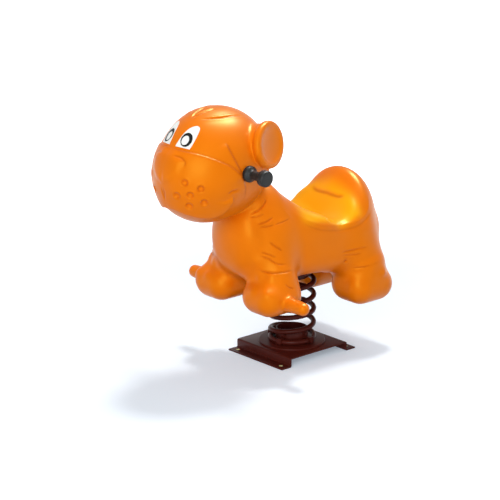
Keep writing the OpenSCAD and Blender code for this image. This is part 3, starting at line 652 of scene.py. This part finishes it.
def rounded(outline, radii, steps):
    """A closed outline with its corners rounded to their own radii."""
    points = [np.array(p, float) for p in outline]
    out = []
    for i, (p, r) in enumerate(zip(points, radii)):
        if r <= 0:
            out.append(p)
            continue
        a = points[i - 1] - p
        b = points[(i + 1) % len(points)] - p
        a /= np.linalg.norm(a)
        b /= np.linalg.norm(b)
        half = math.acos(np.clip(a @ b, -1, 1)) / 2
        middle = p + (a + b) / np.linalg.norm(a + b) * r / math.sin(half)
        start = p + a * r / math.tan(half) - middle
        end = p + b * r / math.tan(half) - middle
        arc = math.pi - 2 * half
        for k in range(steps + 1):
            v = start * math.sin((1 - k / steps) * arc) + end * math.sin(k / steps * arc)
            out.append(middle + v / np.linalg.norm(v) * r)
    return np.array(out)


def wall_faces(rows, n, wrap=False):
    """Quads between rows of n points, each row closed on itself; wrap joins the last row to the first."""
    return [(i * n + k, (i + 1) % rows * n + k, (i + 1) % rows * n + (k + 1) % n, i * n + (k + 1) % n)
            for i in range(rows if wrap else rows - 1) for k in range(n)]


def lathe(outline, sides):
    """Points and faces of a closed outline of radius and height, turned about Z."""
    turn = np.arange(sides) * 2 * math.pi / sides
    points = np.array([(r * math.cos(a), r * math.sin(a), z) for a in turn for r, z in outline])
    return points, wall_faces(sides, len(outline), wrap=True)


def close_axis(piece):
    """Joins the points that a lathe puts on its axis."""
    work = bmesh.new()
    work.from_mesh(piece.data)
    bmesh.ops.remove_doubles(work, verts=work.verts, dist=WELD_GAP)
    bmesh.ops.recalc_face_normals(work, faces=work.faces)
    work.to_mesh(piece.data)
    work.free()
    return piece


# Materials

def add_node(tree, kind, inputs=(), **settings):
    """Adds a node, sets its fields, and fills its inputs with values or with links from other nodes."""
    node = tree.nodes.new(kind)
    for name, value in settings.items():
        setattr(node, name, value)
    for name, value in dict(inputs).items():
        if isinstance(value, bpy.types.NodeSocket):
            tree.links.new(value, node.inputs[name])
        else:
            node.inputs[name].default_value = value
    return node


def new_material(name):
    """An empty material and the place that its patterns are measured from."""
    material = bpy.data.materials.new(name)
    material.use_nodes = True
    tree = material.node_tree
    tree.nodes.clear()
    return material, tree, add_node(tree, "ShaderNodeTexCoord").outputs["Object"]


def grain(size_mm):
    """Scale of a noise whose grains are about that many millimetres across."""
    return 1 / (size_mm * MM)


def clouded(name, shades, cloud, rough, sockets, peel=None, laid_on=()):
    """A material whose colour and gloss drift together with one soft noise; made once.

    shades: its deep and its pale colour. cloud: grain in millimetres and detail of the noise. rough: its
    least and greatest roughness. sockets: what is the same all over it. peel: grain in millimetres,
    strength, and depth in millimetres of a fine bump. laid_on: attributes of the mesh that lay a colour on
    it, each with its share and colour.
    """
    if name in bpy.data.materials:
        return bpy.data.materials[name]
    material, tree, place = new_material(name)
    noise = add_node(tree, "ShaderNodeTexNoise", {
        "Vector": place, "Scale": grain(cloud[0]), "Detail": cloud[1]}).outputs["Fac"]
    deep, pale = shades
    base = add_node(tree, "ShaderNodeMix", {
        "Factor": noise, "A": (*deep, 1), "B": (*pale, 1)}, data_type="RGBA").outputs["Result"]
    for attribute, part, tone in laid_on:
        value = add_node(tree, "ShaderNodeAttribute", attribute_name=attribute).outputs["Fac"]
        factor = add_node(tree, "ShaderNodeMath", {0: value, 1: part}, operation="MULTIPLY")
        base = add_node(tree, "ShaderNodeMix", {
            "Factor": factor.outputs["Value"], "A": base, "B": (*tone, 1)},
            data_type="RGBA").outputs["Result"]
    gloss = add_node(tree, "ShaderNodeMapRange", {"Value": noise, "To Min": rough[0], "To Max": rough[1]})
    shader = add_node(tree, "ShaderNodeBsdfPrincipled", {
        "Base Color": base, "Roughness": gloss.outputs["Result"], **sockets})
    if peel:
        # Real orange peel and rubber grain are too fine to show, so each is drawn as coarse as it needs
        size, strength, depth = peel
        fine = add_node(tree, "ShaderNodeTexNoise", {"Vector": place, "Scale": grain(size), "Detail": 2.0})
        bump = add_node(tree, "ShaderNodeBump", {
            "Height": fine.outputs["Fac"], "Strength": strength, "Distance": depth * MM})
        tree.links.new(bump.outputs["Normal"], shader.inputs["Normal"])
    add_node(tree, "ShaderNodeOutputMaterial", {"Surface": shader.outputs["BSDF"]})
    return material


def moulded_polyethylene():
    """Rotationally moulded polyethylene: a soft sheen, faint orange peel, painted shade in the creases,
    painted top light on the seat.
    """
    tones = bpy.context.scene.rider_colours
    # Its colour carries a painted top light on the seat and painted shade in the creases
    return clouded(
        "moulded_polyethylene", (tones.body_deep, tones.body), cloud=(140, 3.0), rough=(0.32, 0.39),
        sockets={"IOR": 1.51, "Specular IOR Level": 0.42, "Specular Tint": (*tones.sheen, 1)},
        peel=(5, 0.06, 0.4), laid_on=(("seat", 1.0, tones.seat), ("crease_shade", 0.6, tones.crease_shade)))


def powder_coat():
    """Powder coat on steel: thick dark paint with soft clouds in its gloss and a fine orange peel."""
    tones = bpy.context.scene.rider_colours
    return clouded(
        "powder_coated_steel", (tones.paint_deep, tones.paint), cloud=(60, 4.0), rough=(0.24, 0.4),
        sockets={"IOR": 1.5, "Specular IOR Level": 0.12}, peel=(3, 0.08, 0.3))


def zinc_plate():
    """Zinc plated steel, passivated yellow: a pale straw metal, slightly dull and mottled by its crystal.

    The crystal is too fine to show and is drawn coarser.
    """
    tones = bpy.context.scene.rider_colours
    return clouded(
        "zinc_plated_steel", (tones.zinc_deep, tones.zinc), cloud=(4, 3.0), rough=(0.32, 0.5),
        sockets={"Metallic": 1.0})


def moulded_rubber():
    """Moulded rubber: charcoal with a satin skin and a fine matt grain."""
    tones = bpy.context.scene.rider_colours
    return clouded(
        "moulded_rubber", (tones.grip_deep, tones.grip), cloud=(18, 4.0), rough=(0.38, 0.55),
        sockets={"IOR": 1.52, "Specular IOR Level": 0.3}, peel=(1.6, 0.12, 0.3))


def vinyl_film(name, deep, pale):
    """Printed vinyl film: an even gloss with the faintest cloud in its ink."""
    return clouded(name, (deep, pale), cloud=(12, 2.0), rough=(0.2, 0.3), sockets={"IOR": 1.54})


# Sizes and colours that a user would change

def length(name, description, value):
    """A length in millimetres as a property in metres."""
    return bpy.props.FloatProperty(name=name, description=description, default=value * MM, unit="LENGTH",
                                   min=0.0)


def share(name, description, value):
    """A share from nothing to all."""
    return bpy.props.FloatProperty(name=name, description=description, default=value, subtype="FACTOR",
                                   min=0.0, max=1.0)


def colour(name, description, code):
    """A colour from its sRGB hex code."""
    return bpy.props.FloatVectorProperty(name=name, description=description, default=linear(code), size=3,
                                         subtype="COLOR", min=0.0, max=1.0)


class RiderBodySizes(bpy.types.PropertyGroup):
    """Sizes of the moulded body's fillets and details."""

    grid_step: length("Grid", "Cell of the grid that the body is first drawn on", 10.2)
    mesh_step: length("Mesh", "Length of the finished mesh's edges", 5.1)
    leg_fillet: length("Leg fillet", "Fillet between the legs and the trunk", 46)
    ankle_fillet: length("Ankle fillet", "Fillet between a leg and its foot", 26)
    peg_fillet: length("Peg fillet", "Fillet between a foot and its peg", 12)
    neck_fillet: length("Neck fillet", "Fillet between the head and the trunk", 14)
    ear_fillet: length("Ear fillet", "Fillet between the ears and the head", 10)
    muzzle_fillet: length("Muzzle fillet", "Fillet between the muzzle and the head", 8)
    pocket_edge: length("Pocket edge", "Rounding of the belly pocket's edge", 7)
    dimple_width: length("Dimple width", "Width of the whisker dimples", 26)
    dimple_depth: length("Dimple depth", "Depth of the whisker dimples", 5.5)
    vent_width: length("Vent width", "Width of the vent mark", 4.5)
    nose_relief: length("Nose relief", "Height of the nose", 6)
    # The colour that the creases get is painted shade, at full strength from this depth
    full_depth: length("Full depth", "Depth from which a crease has its full colour", 1.6)
    lip_share: share("Lip", "Height of the lips beside a crease, as a share of its depth", 0.22)


class RiderSteelSizes(bpy.types.PropertyGroup):
    """Sizes of the steel pieces' finish."""

    fold_r: length("Fold", "Outer radius of the plate's folds", 6.5)
    edge_r: length("Edge", "Rounding of cut edges", 1.2)
    hole_d: length("Anchor hole", "Diameter of the anchor holes", 14)
    sheet: length("Sheet", "Thickness of the plate", 5)
    flange: length("Flange", "Width of each anchor flange", 38)
    wire_d: length("Wire", "Diameter of the spring's wire", 17)
    hub_r: length("Hub", "Outer radius of the hubs in the coil", 53)
    hub_wall: length("Hub wall", "Wall of the hubs", 4)
    disc_t: length("Disc", "Thickness of the spring seats", 6)


class RiderGripSizes(bpy.types.PropertyGroup):
    """Sizes of the hand grips and eye films."""

    hold_r: length("Hold", "Radius of the hand hold", 14.5)
    collar_t: length("Collar", "Thickness of the collar", 15)
    knob_t: length("Knob", "Thickness of the knob", 24)
    film_t: length("Film", "Thickness of the eye films", 0.8)


class RiderColours(bpy.types.PropertyGroup):
    """Colours of the finishes."""

    body: colour("Body", "Moulded body", "#EA7608")
    body_deep: colour("Body, deep", "Darker clouds of the moulded body", "#DF6D06")
    # Painted shade laid into the creases, dimples and vent
    crease_shade: colour("Crease", "Inside of the creases", "#B94C07")
    # Painted top light on the seat, where the dish faces up
    seat: colour("Seat", "Polished seat", "#F9A608")
    sheen: colour("Sheen", "Tint of the moulded body's gloss", "#FFEA52")
    paint: colour("Paint", "Powder coat", "#501A12")
    paint_deep: colour("Paint, deep", "Darker clouds of the powder coat", "#3C120C")
    zinc: colour("Zinc", "Yellow passivated plating", "#DCD3A6")
    zinc_deep: colour("Zinc, deep", "Darker crystal of the plating", "#B5AB80")
    grip: colour("Grip", "Rubber grips", "#1B1E1E")
    grip_deep: colour("Grip, deep", "Darker clouds of the rubber", "#121414")
    eye_white: colour("Eye white", "White film", "#F6F6F2")
    eye_white_deep: colour("Eye white, deep", "Shade of the white film", "#E9EAE6")
    eye_black: colour("Eye black", "Black film", "#0D0D0E")
    eye_black_deep: colour("Eye black, deep", "Shade of the black film", "#060607")
    surround: colour("Surround", "Even light from all round", "#FCFEFF")
    floor: colour("Floor", "Floor", "#DCE2E7")
    floor_bounce: colour("Floor bounce", "Light that the floor throws back on the rider", "#A8AEB3")
    floor_glow: colour("Floor glow", "Light that the floor shows to the camera", "#7F8791")


# Operators

class RIDER_OT_body(bpy.types.Operator):
    """Makes the moulded body from its forms and details"""

    bl_idname = "rider.body"
    bl_label = "Moulded body"

    margin_cells = 6
    crease_from = 0.2
    bend_from = math.radians(20)

    def execute(self, context):
        sizes = context.scene.rider_body
        step = sizes.grid_step / MM
        margin = self.margin_cells * step
        low = SHELL_LOW - margin
        counts = np.ceil((SHELL_HIGH - SHELL_LOW + 2 * margin) / step).astype(int)
        low[0] = -step * (counts[0] / 2)
        axes = [low[k] + step * np.arange(counts[k] + 1) for k in range(3)]
        grid = np.stack(np.meshgrid(*axes, indexing="ij"), -1)
        field = body_field(grid.reshape(-1, 3)).reshape(grid.shape[:3])
        points, quads = surface_net(field, low, step)
        points = to_surface(points, SETTLE_PASSES)
        body = make_piece("moulded_body", points, quads, moulded_polyethylene())
        fine = body.modifiers.new("finer", "SUBSURF")
        fine.levels = fine.render_levels = max(1, round(math.log2(step / (sizes.mesh_step / MM))))
        with_modifiers(body)
        points = to_surface(mesh_points(body.data), SETTLE_PASSES)
        out, _ = body_normal(points)
        _, crease_shade = detail_heights(points, out)
        self.refine(body.data, crease_shade, out)
        points = to_surface(mesh_points(body.data), SETTLE_PASSES)
        out, _ = body_normal(points)
        height, crease_shade = detail_heights(points, out)
        points += out * height[:, None]
        body.data.vertices.foreach_set("co", (points * MM).astype(np.float32).ravel())
        # Painted shade in the creases and a painted top light on the seat, carried as attributes
        for name, values in (("crease_shade", crease_shade), ("seat", seat_light_share(points, out))):
            attribute = body.data.attributes.new(name, "FLOAT", "POINT")
            attribute.data.foreach_set("value", values.astype(np.float32))
        body.data.update()
        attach(body, "rider")
        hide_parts("rider_shell")
        return {"FINISHED"}

    def refine(self, mesh, crease_shade, out):
        """Splits the faces that carry a crease or turn sharply, so that both stay smooth."""
        work = bmesh.new()
        work.from_mesh(mesh)
        edges = set()
        for face in work.faces:
            corners = [v.index for v in face.verts]
            bend = (out[corners] @ out[corners[0]]).min()
            if crease_shade[corners].max() > self.crease_from or bend < math.cos(self.bend_from):
                edges.update(face.edges)
        edges = sorted(edges, key=lambda edge: edge.index)
        bmesh.ops.subdivide_edges(work, edges=edges, cuts=1, use_grid_fill=True)
        bmesh.ops.triangulate(work, faces=[face for face in work.faces if len(face.verts) > 4])
        work.to_mesh(mesh)
        work.free()


def film(name, rings, side, lift, material):
    """A thin film over rings of pixels, from its outline to its middle or hole, on one side of the head."""
    count = len(rings[0])
    sizes = bpy.context.scene.rider_grips
    low = to_surface(seen_at(np.concatenate(rings)), FILM_PASSES)
    out, _ = body_normal(low)
    top = low + out * (lift + sizes.film_t / MM)
    low = low + out * (lift - sizes.film_t / MM)
    points = np.concatenate([top, low]) * [side, 1, 1]
    faces = [f[::-1] for f in wall_faces(len(rings), count)]
    under = len(top)
    faces += [tuple(under + v for v in reversed(f)) for f in faces]
    last = (len(rings) - 1) * count
    for i in range(count):
        j = (i + 1) % count
        faces.append((under + i, under + j, j, i))
        faces.append((last + i, last + j, under + last + j, under + last + i))
    if side < 0:
        faces = [tuple(reversed(f)) for f in faces]
    return close_axis(make_piece(name, points, faces, material, sharp=50))


def between(outer, inner, steps):
    """Rings of pixels from an outline to an inner one."""
    outer, inner = np.asarray(outer, float), np.asarray(inner, float)
    return [outer + (inner - outer) * k / steps for k in range(steps + 1)]


def oval(middle, half, tilt, count):
    """Pixels round a tilted oval."""
    turn = np.arange(count) * 2 * math.pi / count
    x, y = half[0] * np.cos(turn), half[1] * np.sin(turn)
    return np.stack([middle[0] + x * math.cos(tilt) - y * math.sin(tilt),
                     middle[1] + x * math.sin(tilt) + y * math.cos(tilt)], 1)


class RIDER_OT_eyes(bpy.types.Operator):
    """Makes the white eye films and the black pupil rings on the head"""

    bl_idname = "rider.eyes"
    bl_label = "Eyes"

    outline_spacing = 0.7
    ring_count = 64
    film_steps = 7
    ring_steps = 3

    def execute(self, context):
        colours = context.scene.rider_colours
        white = vinyl_film("white_vinyl_film", colours.eye_white_deep, colours.eye_white)
        black = vinyl_film("black_vinyl_film", colours.eye_black_deep, colours.eye_black)
        curved = smooth_line(np.array(EYE_CURVE), self.outline_spacing)
        edge = np.concatenate([EYE_STRAIGHT[:-1], curved[:-1]])[::-1]
        middle = edge.mean(0)
        whites = between(edge, np.broadcast_to(middle, edge.shape), self.film_steps)
        outer = oval(RING_AT, RING_HALF, RING_TILT, self.ring_count)
        hole = oval(RING_HOLE_AT, RING_HOLE_HALF, RING_TILT, self.ring_count)
        rings = [r[::-1] for r in between(outer, hole, self.ring_steps)]
        film_t = context.scene.rider_grips.film_t / MM
        for word, side in (("left", 1), ("right", -1)):
            eye = film(f"{word}_eye_film", whites, side, 0, white)
            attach(eye, "rider")
            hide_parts(f"{word}_eye_white")
            ring = film(f"{word}_pupil_ring", rings, side, film_t, black)
            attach(ring, "rider")
            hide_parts(f"{word}_eye_ring")
        return {"FINISHED"}


class RIDER_OT_grips(bpy.types.Operator):
    """Makes the two collared hand grips"""

    bl_idname = "rider.grips"
    bl_label = "Hand grips"

    sides = 64
    corner_steps = 8

    def execute(self, context):
        sizes = context.scene.rider_grips
        reach = GRIP_HIGH[0] - GRIP_LOW[0]
        knob_r = (GRIP_HIGH[1] - GRIP_LOW[1]) / 2
        hold_r, collar, knob = sizes.hold_r / MM, sizes.collar_t / MM, reach - sizes.knob_t / MM
        waist = (collar + knob) / 2
        flare, foot_r, rim_r = knob_r / 3, collar / 3, collar / 2
        outline = [(0, 0), (knob_r, 0), (knob_r, collar), (hold_r, collar + flare), (hold_r, waist),
                   (hold_r, knob - flare), (knob_r, knob), (knob_r, reach), (0, reach)]
        radii = [0, foot_r, rim_r, flare, 0, flare, rim_r, rim_r, 0]
        points, faces = lathe(rounded(outline, radii, self.corner_steps), self.sides)
        middle = (GRIP_LOW + GRIP_HIGH) / 2
        for word, side in (("left", 1), ("right", -1)):
            turned = np.stack([side * (GRIP_LOW[0] + points[:, 2]), middle[1] + points[:, 1],
                               middle[2] + points[:, 0]], 1)
            grip = close_axis(make_piece(f"{word}_hand_grip", turned, faces, moulded_rubber(), sharp=40))
            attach(grip, "rider")
            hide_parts(f"{word}_grip")
        return {"FINISHED"}


class RIDER_OT_spring(bpy.types.Operator):
    """Winds the spring as two halves"""

    bl_idname = "rider.spring"
    bl_label = "Coil spring"

    working_turns = 5
    end_gap = 0.7
    tip_angle = 160
    rings_per_turn = 56
    sides = 24
    ease_turns = 0.06
    samples = 4096

    def execute(self, context):
        wire_r = context.scene.rider_steel.wire_d / MM / 2
        coil_r = (COIL_HIGH[1] - COIL_LOW[1]) / 2 - wire_r
        z0, z1 = COIL_LOW[2] + wire_r, COIL_HIGH[2] - wire_r
        pitch = (z1 - z0) / self.working_turns
        flat = 1 - (2 * wire_r + self.end_gap) / pitch
        turns = self.working_turns + 2 * flat
        sampled = np.linspace(0, turns, self.samples)
        risen = self.eased(sampled, flat, turns)
        for name, start, end, bodies in (
                ("spring_lower_half", 0, turns / 2, ("base", "spring")),
                ("spring_upper_half", turns / 2, turns, ("spring", "rider"))):
            u = np.linspace(start, end, math.ceil((end - start) * self.rings_per_turn) + 1)
            z = z0 + pitch * np.interp(u, sampled, risen)
            half = self.tube(name, u, z, coil_r, wire_r)
            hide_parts("coil_spring")
            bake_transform(half)
        return {"FINISHED"}

    def eased(self, u, flat, turns):
        """Turns risen after u turns, with the bends into and out of the flat ends eased."""
        slope = smooth_step(u, flat - self.ease_turns, flat + self.ease_turns)
        slope *= smooth_step(-u, flat - turns - self.ease_turns, flat - turns + self.ease_turns)
        risen = np.concatenate([[0], np.cumsum((slope[1:] + slope[:-1]) / 2 * np.diff(u))])
        return risen * self.working_turns / risen[-1]

    def tube(self, name, u, z, coil_r, wire_r):
        """One unbroken tube along the turns, with rounded tips."""
        turn = np.radians(self.tip_angle + 360 * u)
        ring = np.arange(self.sides) * 2 * math.pi / self.sides
        radius = coil_r + wire_r * np.cos(ring)[None, :]
        points = np.stack([radius * np.cos(turn)[:, None], radius * np.sin(turn)[:, None],
                           z[:, None] + wire_r * np.sin(ring)[None, :]], -1).reshape(-1, 3)
        last = (len(u) - 1) * self.sides
        faces = wall_faces(len(u), self.sides)
        faces.append(tuple(range(self.sides)))
        faces.append(tuple(last + k for k in reversed(range(self.sides))))
        return close_axis(make_piece(name, points, faces, powder_coat(), sharp=40))


class RIDER_OT_plate(bpy.types.Operator):
    """Folds the ground plate from one sheet and drills its anchor holes"""

    bl_idname = "rider.plate"
    bl_label = "Ground plate"

    corner_steps = 6
    hole_sides = 48
    anchor_edge = 26
    sharp = 30

    def execute(self, context):
        sizes = context.scene.rider_steel
        sheet, flange = sizes.sheet / MM, sizes.flange / MM
        fold, edge = sizes.fold_r / MM, sizes.edge_r / MM
        end, top = PLATE_HIGH[1], PLATE_HIGH[2]
        wall = end - flange
        inner = wall - sheet
        right = [(0, top - sheet), (inner, top - sheet), (inner, 0), (end, 0), (end, sheet), (wall, sheet),
                 (wall, top), (0, top)]
        bend = fold - sheet
        radii = [0, bend, fold, edge, edge, bend, fold, 0]
        outline = right[1:-1] + [(-y, z) for y, z in reversed(right[1:-1])]
        section = rounded(outline, radii[1:-1] + radii[-2:0:-1], self.corner_steps)
        plate = self.extruded(section, PLATE_LOW[0], PLATE_HIGH[0], edge)
        anchor_x, anchor_y = PLATE_HIGH[0] - self.anchor_edge, end - flange / 2
        self.drill(plate, [(x, y) for x in (-anchor_x, anchor_x) for y in (-anchor_y, anchor_y)], sheet)
        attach(plate, "base")
        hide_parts("base_plate")
        return {"FINISHED"}

    def extruded(self, section, low, high, edge):
        """The folded section drawn out across the plate, with eased ends."""
        n = len(section)
        ease = edge / 3
        stations = [(low, edge), (low + ease, ease), (low + edge, 0), (high - edge, 0), (high - ease, ease),
                    (high, edge)]
        rows = [np.column_stack([np.full(n, x), inset_outline(section, inset)]) for x, inset in stations]
        faces = [f[::-1] for f in wall_faces(len(rows), n)]
        faces.append(tuple(reversed(range(n))))
        faces.append(tuple((len(rows) - 1) * n + k for k in range(n)))
        plate = make_piece("folded_plate", np.concatenate(rows), faces, powder_coat(), sharp=self.sharp)
        return close_axis(plate)

    def drill(self, plate, places, sheet):
        """Cuts the anchor holes through the flanges; their walls are plated and bare of paint."""
        r = bpy.context.scene.rider_steel.hole_d / MM / 2
        bit = [(0, -sheet), (r, -sheet), (r, 2 * sheet), (0, 2 * sheet)]
        for x, y in places:
            points, faces = lathe(bit, self.hole_sides)
            drill = close_axis(make_piece("drill", points + [x, y, 0], faces, zinc_plate()))
            cut = plate.modifiers.new("hole", "BOOLEAN")
            cut.operation = "DIFFERENCE"
            cut.solver = "EXACT"
            cut.material_mode = "TRANSFER"
            cut.object = drill
            with_modifiers(plate)
            bpy.data.objects.remove(drill)
        plate.data.shade_smooth()
        plate.data.set_sharp_from_angle(angle=math.radians(self.sharp))


def inset_outline(outline, inset):
    """A closed outline drawn in by an inset, for an eased edge."""
    before = outline - np.roll(outline, 1, 0)
    after = np.roll(outline, -1, 0) - outline
    before /= np.linalg.norm(before, axis=1)[:, None]
    after /= np.linalg.norm(after, axis=1)[:, None]
    along = before + after
    along /= np.linalg.norm(along, axis=1)[:, None]
    area = np.sum(outline[:, 0] * np.roll(outline[:, 1], -1) - np.roll(outline[:, 0], -1) * outline[:, 1])
    inward = np.stack([-along[:, 1], along[:, 0]], 1) * math.copysign(1, area)
    return outline + inward * inset


class RIDER_OT_seats(bpy.types.Operator):
    """Turns the two spring seats with their hubs and finishes the clips and fasteners"""

    bl_idname = "rider.seats"
    bl_label = "Spring seats and fasteners"

    sides = 96
    corner_steps = 5
    rim_share = 1 / 2.2
    root_share = 0.8
    lip_share = 1.4
    floor_share = 2.0
    sharp = 35
    ease_angle = math.radians(40)
    painted_nodes = ("lower_clips", "upper_clips", "lower_clip_bolts", "lower_clip_nuts",
                     "upper_clip_bolts", "upper_clip_nuts")
    zinc_nodes = ("lower_seat_bolts", "lower_seat_washers", "lower_seat_nuts", "belly_inserts",
                  "upper_seat_bolts", "upper_seat_washers", "handle_tube")

    def execute(self, context):
        sizes = context.scene.rider_steel
        edge, disc_t = sizes.edge_r / MM, sizes.disc_t / MM
        hub_r, wall = sizes.hub_r / MM, sizes.hub_wall / MM
        disc_r = (SEAT_HIGH[0] - SEAT_LOW[0]) / 2
        tall = SEAT_HIGH[2] - SEAT_LOW[2]
        bore = hub_r - wall
        outline = [(0, 0), (disc_r, 0), (disc_r, disc_t), (hub_r, disc_t), (hub_r, tall), (bore, tall),
                   (bore, disc_t), (0, disc_t)]
        lip = self.lip_share * edge
        radii = [0, edge / 2, self.rim_share * disc_t, self.root_share * edge, lip, lip,
                 self.floor_share * edge, 0]
        points, faces = lathe(rounded(outline, radii, self.corner_steps), self.sides)
        lower = make_piece("lower_spring_seat", points + [0, 0, SEAT_LOW[2]], faces, powder_coat(),
                           sharp=self.sharp)
        upper = make_piece("upper_spring_seat", points * [1, -1, -1] + [0, 0, ROOF_Z], faces,
                           powder_coat(), sharp=self.sharp)
        for piece, body, node in ((lower, "base", "lower_seat"), (upper, "rider", "upper_seat")):
            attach(close_axis(piece), body)
            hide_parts(node)
        for node in self.painted_nodes:
            self.dress(node, powder_coat(), edge)
        for node in self.zinc_nodes:
            self.dress(node, zinc_plate(), edge / 3)
        return {"FINISHED"}

    def dress(self, node, material, edge):
        """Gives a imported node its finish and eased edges."""
        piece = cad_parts[node]
        piece.data.materials.clear()
        piece.data.materials.append(material)
        weld = piece.modifiers.new("weld", "WELD")
        weld.merge_threshold = WELD_GAP
        ease = piece.modifiers.new("ease", "BEVEL")
        ease.width = edge * MM
        ease.segments = 2
        ease.limit_method = "ANGLE"
        ease.angle_limit = self.ease_angle
        ease.harden_normals = True


class RIDER_OT_stage(bpy.types.Operator):
    """Sets the floor, the soft light and the camera"""

    bl_idname = "rider.stage"
    bl_label = "Stage"

    floor_half = 40.0
    key_from = (-0.7, 1.3, 6.3)
    key_size = 0.9
    key_power = 186.0
    gloss_from = (-0.3, 3.0, 6.2)
    gloss_size = 2.6
    gloss_power = 950.0
    fill_from = (4.0, -4.7, 2.7)
    fill_size = 4.0
    fill_power = 258.0
    world_light = 0.46
    white_up_to = 0.11
    even_from = 0.22
    white_from = 0.95
    white_to = 2.4

    def execute(self, context):
        scene = context.scene
        scene.view_settings.view_transform = "Standard"
        self.floor()
        self.world(scene)
        aim = Vector(PHOTO_AIM * MM)
        self.lamp("key_light", self.key_from, aim, self.key_size, self.key_power)
        gloss = self.lamp("gloss_light", self.gloss_from, aim, self.gloss_size, self.gloss_power)
        gloss.visible_diffuse = False
        self.lamp("fill_light", self.fill_from, aim, self.fill_size, self.fill_power)
        back, _, _ = camera_axes()
        data = bpy.data.cameras.new("photo_camera")
        data.lens = PHOTO_LENS
        data.sensor_width = PHOTO_SENSOR
        data.clip_end = 100.0
        camera = bpy.data.objects.new("photo_camera", data)
        camera.location = aim + Vector(back) * PHOTO_DISTANCE * MM
        camera.rotation_euler = (-Vector(back)).to_track_quat("-Z", "Y").to_euler()
        scene.collection.objects.link(camera)
        scene.camera = camera
        return {"FINISHED"}

    def lamp(self, name, place, aim, size, power):
        """A soft square lamp turned to the aim."""
        data = bpy.data.lights.new(name, "AREA")
        data.size = size
        data.energy = power
        lamp = bpy.data.objects.new(name, data)
        lamp.location = place
        lamp.rotation_euler = (aim - Vector(place)).to_track_quat("-Z", "Y").to_euler()
        bpy.context.scene.collection.objects.link(lamp)
        return lamp

    def floor(self):
        """A plain pale floor that shows white to the camera and keeps the shadow."""
        h = self.floor_half / MM
        material, tree, place = new_material("matt_studio_floor")
        colours = bpy.context.scene.rider_colours
        path = add_node(tree, "ShaderNodeLightPath").outputs
        seen = path["Is Camera Ray"]
        for ray in ("Is Glossy Ray", "Is Transmission Ray"):
            either = add_node(tree, "ShaderNodeMath", {0: seen, 1: path[ray]}, operation="MAXIMUM")
            seen = either.outputs["Value"]
        away = add_node(tree, "ShaderNodeVectorMath", {0: place}, operation="LENGTH")
        far = add_node(tree, "ShaderNodeMapRange", {
            "Value": away.outputs["Value"], "From Min": self.white_from, "From Max": self.white_to},
            interpolation_type="SMOOTHSTEP")
        glow = add_node(tree, "ShaderNodeMix", {
            "Factor": far.outputs["Result"], "A": (*colours.floor_glow, 1), "B": (1, 1, 1, 1)},
            data_type="RGBA")
        base = add_node(tree, "ShaderNodeMix", {
            "Factor": seen, "A": (*colours.floor_bounce, 1), "B": (*colours.floor, 1)}, data_type="RGBA")
        shader = add_node(tree, "ShaderNodeBsdfPrincipled", {
            "Base Color": base.outputs["Result"], "Roughness": 0.9,
            "Emission Color": glow.outputs["Result"], "Emission Strength": seen})
        add_node(tree, "ShaderNodeOutputMaterial", {"Surface": shader.outputs["BSDF"]})
        floor = make_piece("studio_floor", [(-h, -h, 0), (h, -h, 0), (h, h, 0), (-h, h, 0)], [(0, 1, 2, 3)],
                           material)

    def world(self, scene):
        """Even light from all round, with a white band along the horizon."""
        scene.world = bpy.data.worlds.new("studio_world")
        scene.world.use_nodes = True
        tree = scene.world.node_tree
        tree.nodes.clear()
        colours = bpy.context.scene.rider_colours
        ray = add_node(tree, "ShaderNodeTexCoord").outputs["Generated"]
        height = add_node(tree, "ShaderNodeSeparateXYZ", {"Vector": ray}).outputs["Z"]
        level = add_node(tree, "ShaderNodeMapRange", {
            "Value": height, "From Min": self.white_up_to, "From Max": self.even_from,
            "To Min": 1.0, "To Max": self.world_light}, interpolation_type="SMOOTHSTEP")
        light = add_node(tree, "ShaderNodeBackground", {
            "Color": (*colours.surround, 1), "Strength": level.outputs["Result"]})
        add_node(tree, "ShaderNodeOutputWorld", {"Surface": light.outputs["Background"]})


OPERATORS = (RIDER_OT_stage, RIDER_OT_body, RIDER_OT_eyes, RIDER_OT_grips, RIDER_OT_spring, RIDER_OT_plate,
             RIDER_OT_seats)
GROUPS = {
    "rider_body": RiderBodySizes,
    "rider_steel": RiderSteelSizes,
    "rider_grips": RiderGripSizes,
    "rider_colours": RiderColours,
}


class RIDER_PT_panel(bpy.types.Panel):
    """Lists the rider's sizes, colours and making steps"""

    bl_idname = "RIDER_PT_panel"
    bl_label = "Spring rider"
    bl_space_type = "VIEW_3D"
    bl_region_type = "UI"
    bl_category = "Rider"

    def draw(self, context):
        for operator in OPERATORS:
            self.layout.operator(operator.bl_idname)
        for name, group in GROUPS.items():
            box = self.layout.box()
            for field in group.__annotations__:
                box.prop(getattr(context.scene, name), field)


CLASSES = (*GROUPS.values(), *OPERATORS, RIDER_PT_panel)


def register():
    """Registers the classes and puts the property groups on the scene."""
    for item in CLASSES:
        bpy.utils.register_class(item)
    for name, group in GROUPS.items():
        setattr(bpy.types.Scene, name, bpy.props.PointerProperty(type=group))


def unregister():
    """Takes the property groups and classes away again."""
    for name in GROUPS:
        delattr(bpy.types.Scene, name)
    for item in reversed(CLASSES):
        bpy.utils.unregister_class(item)


def main():
    """Makes every piece in order."""
    register()
    bpy.ops.rider.stage()
    bpy.ops.rider.body()
    bpy.ops.rider.eyes()
    bpy.ops.rider.grips()
    bpy.ops.rider.spring()
    bpy.ops.rider.plate()
    bpy.ops.rider.seats()


if __name__ == "__main__":
    main()
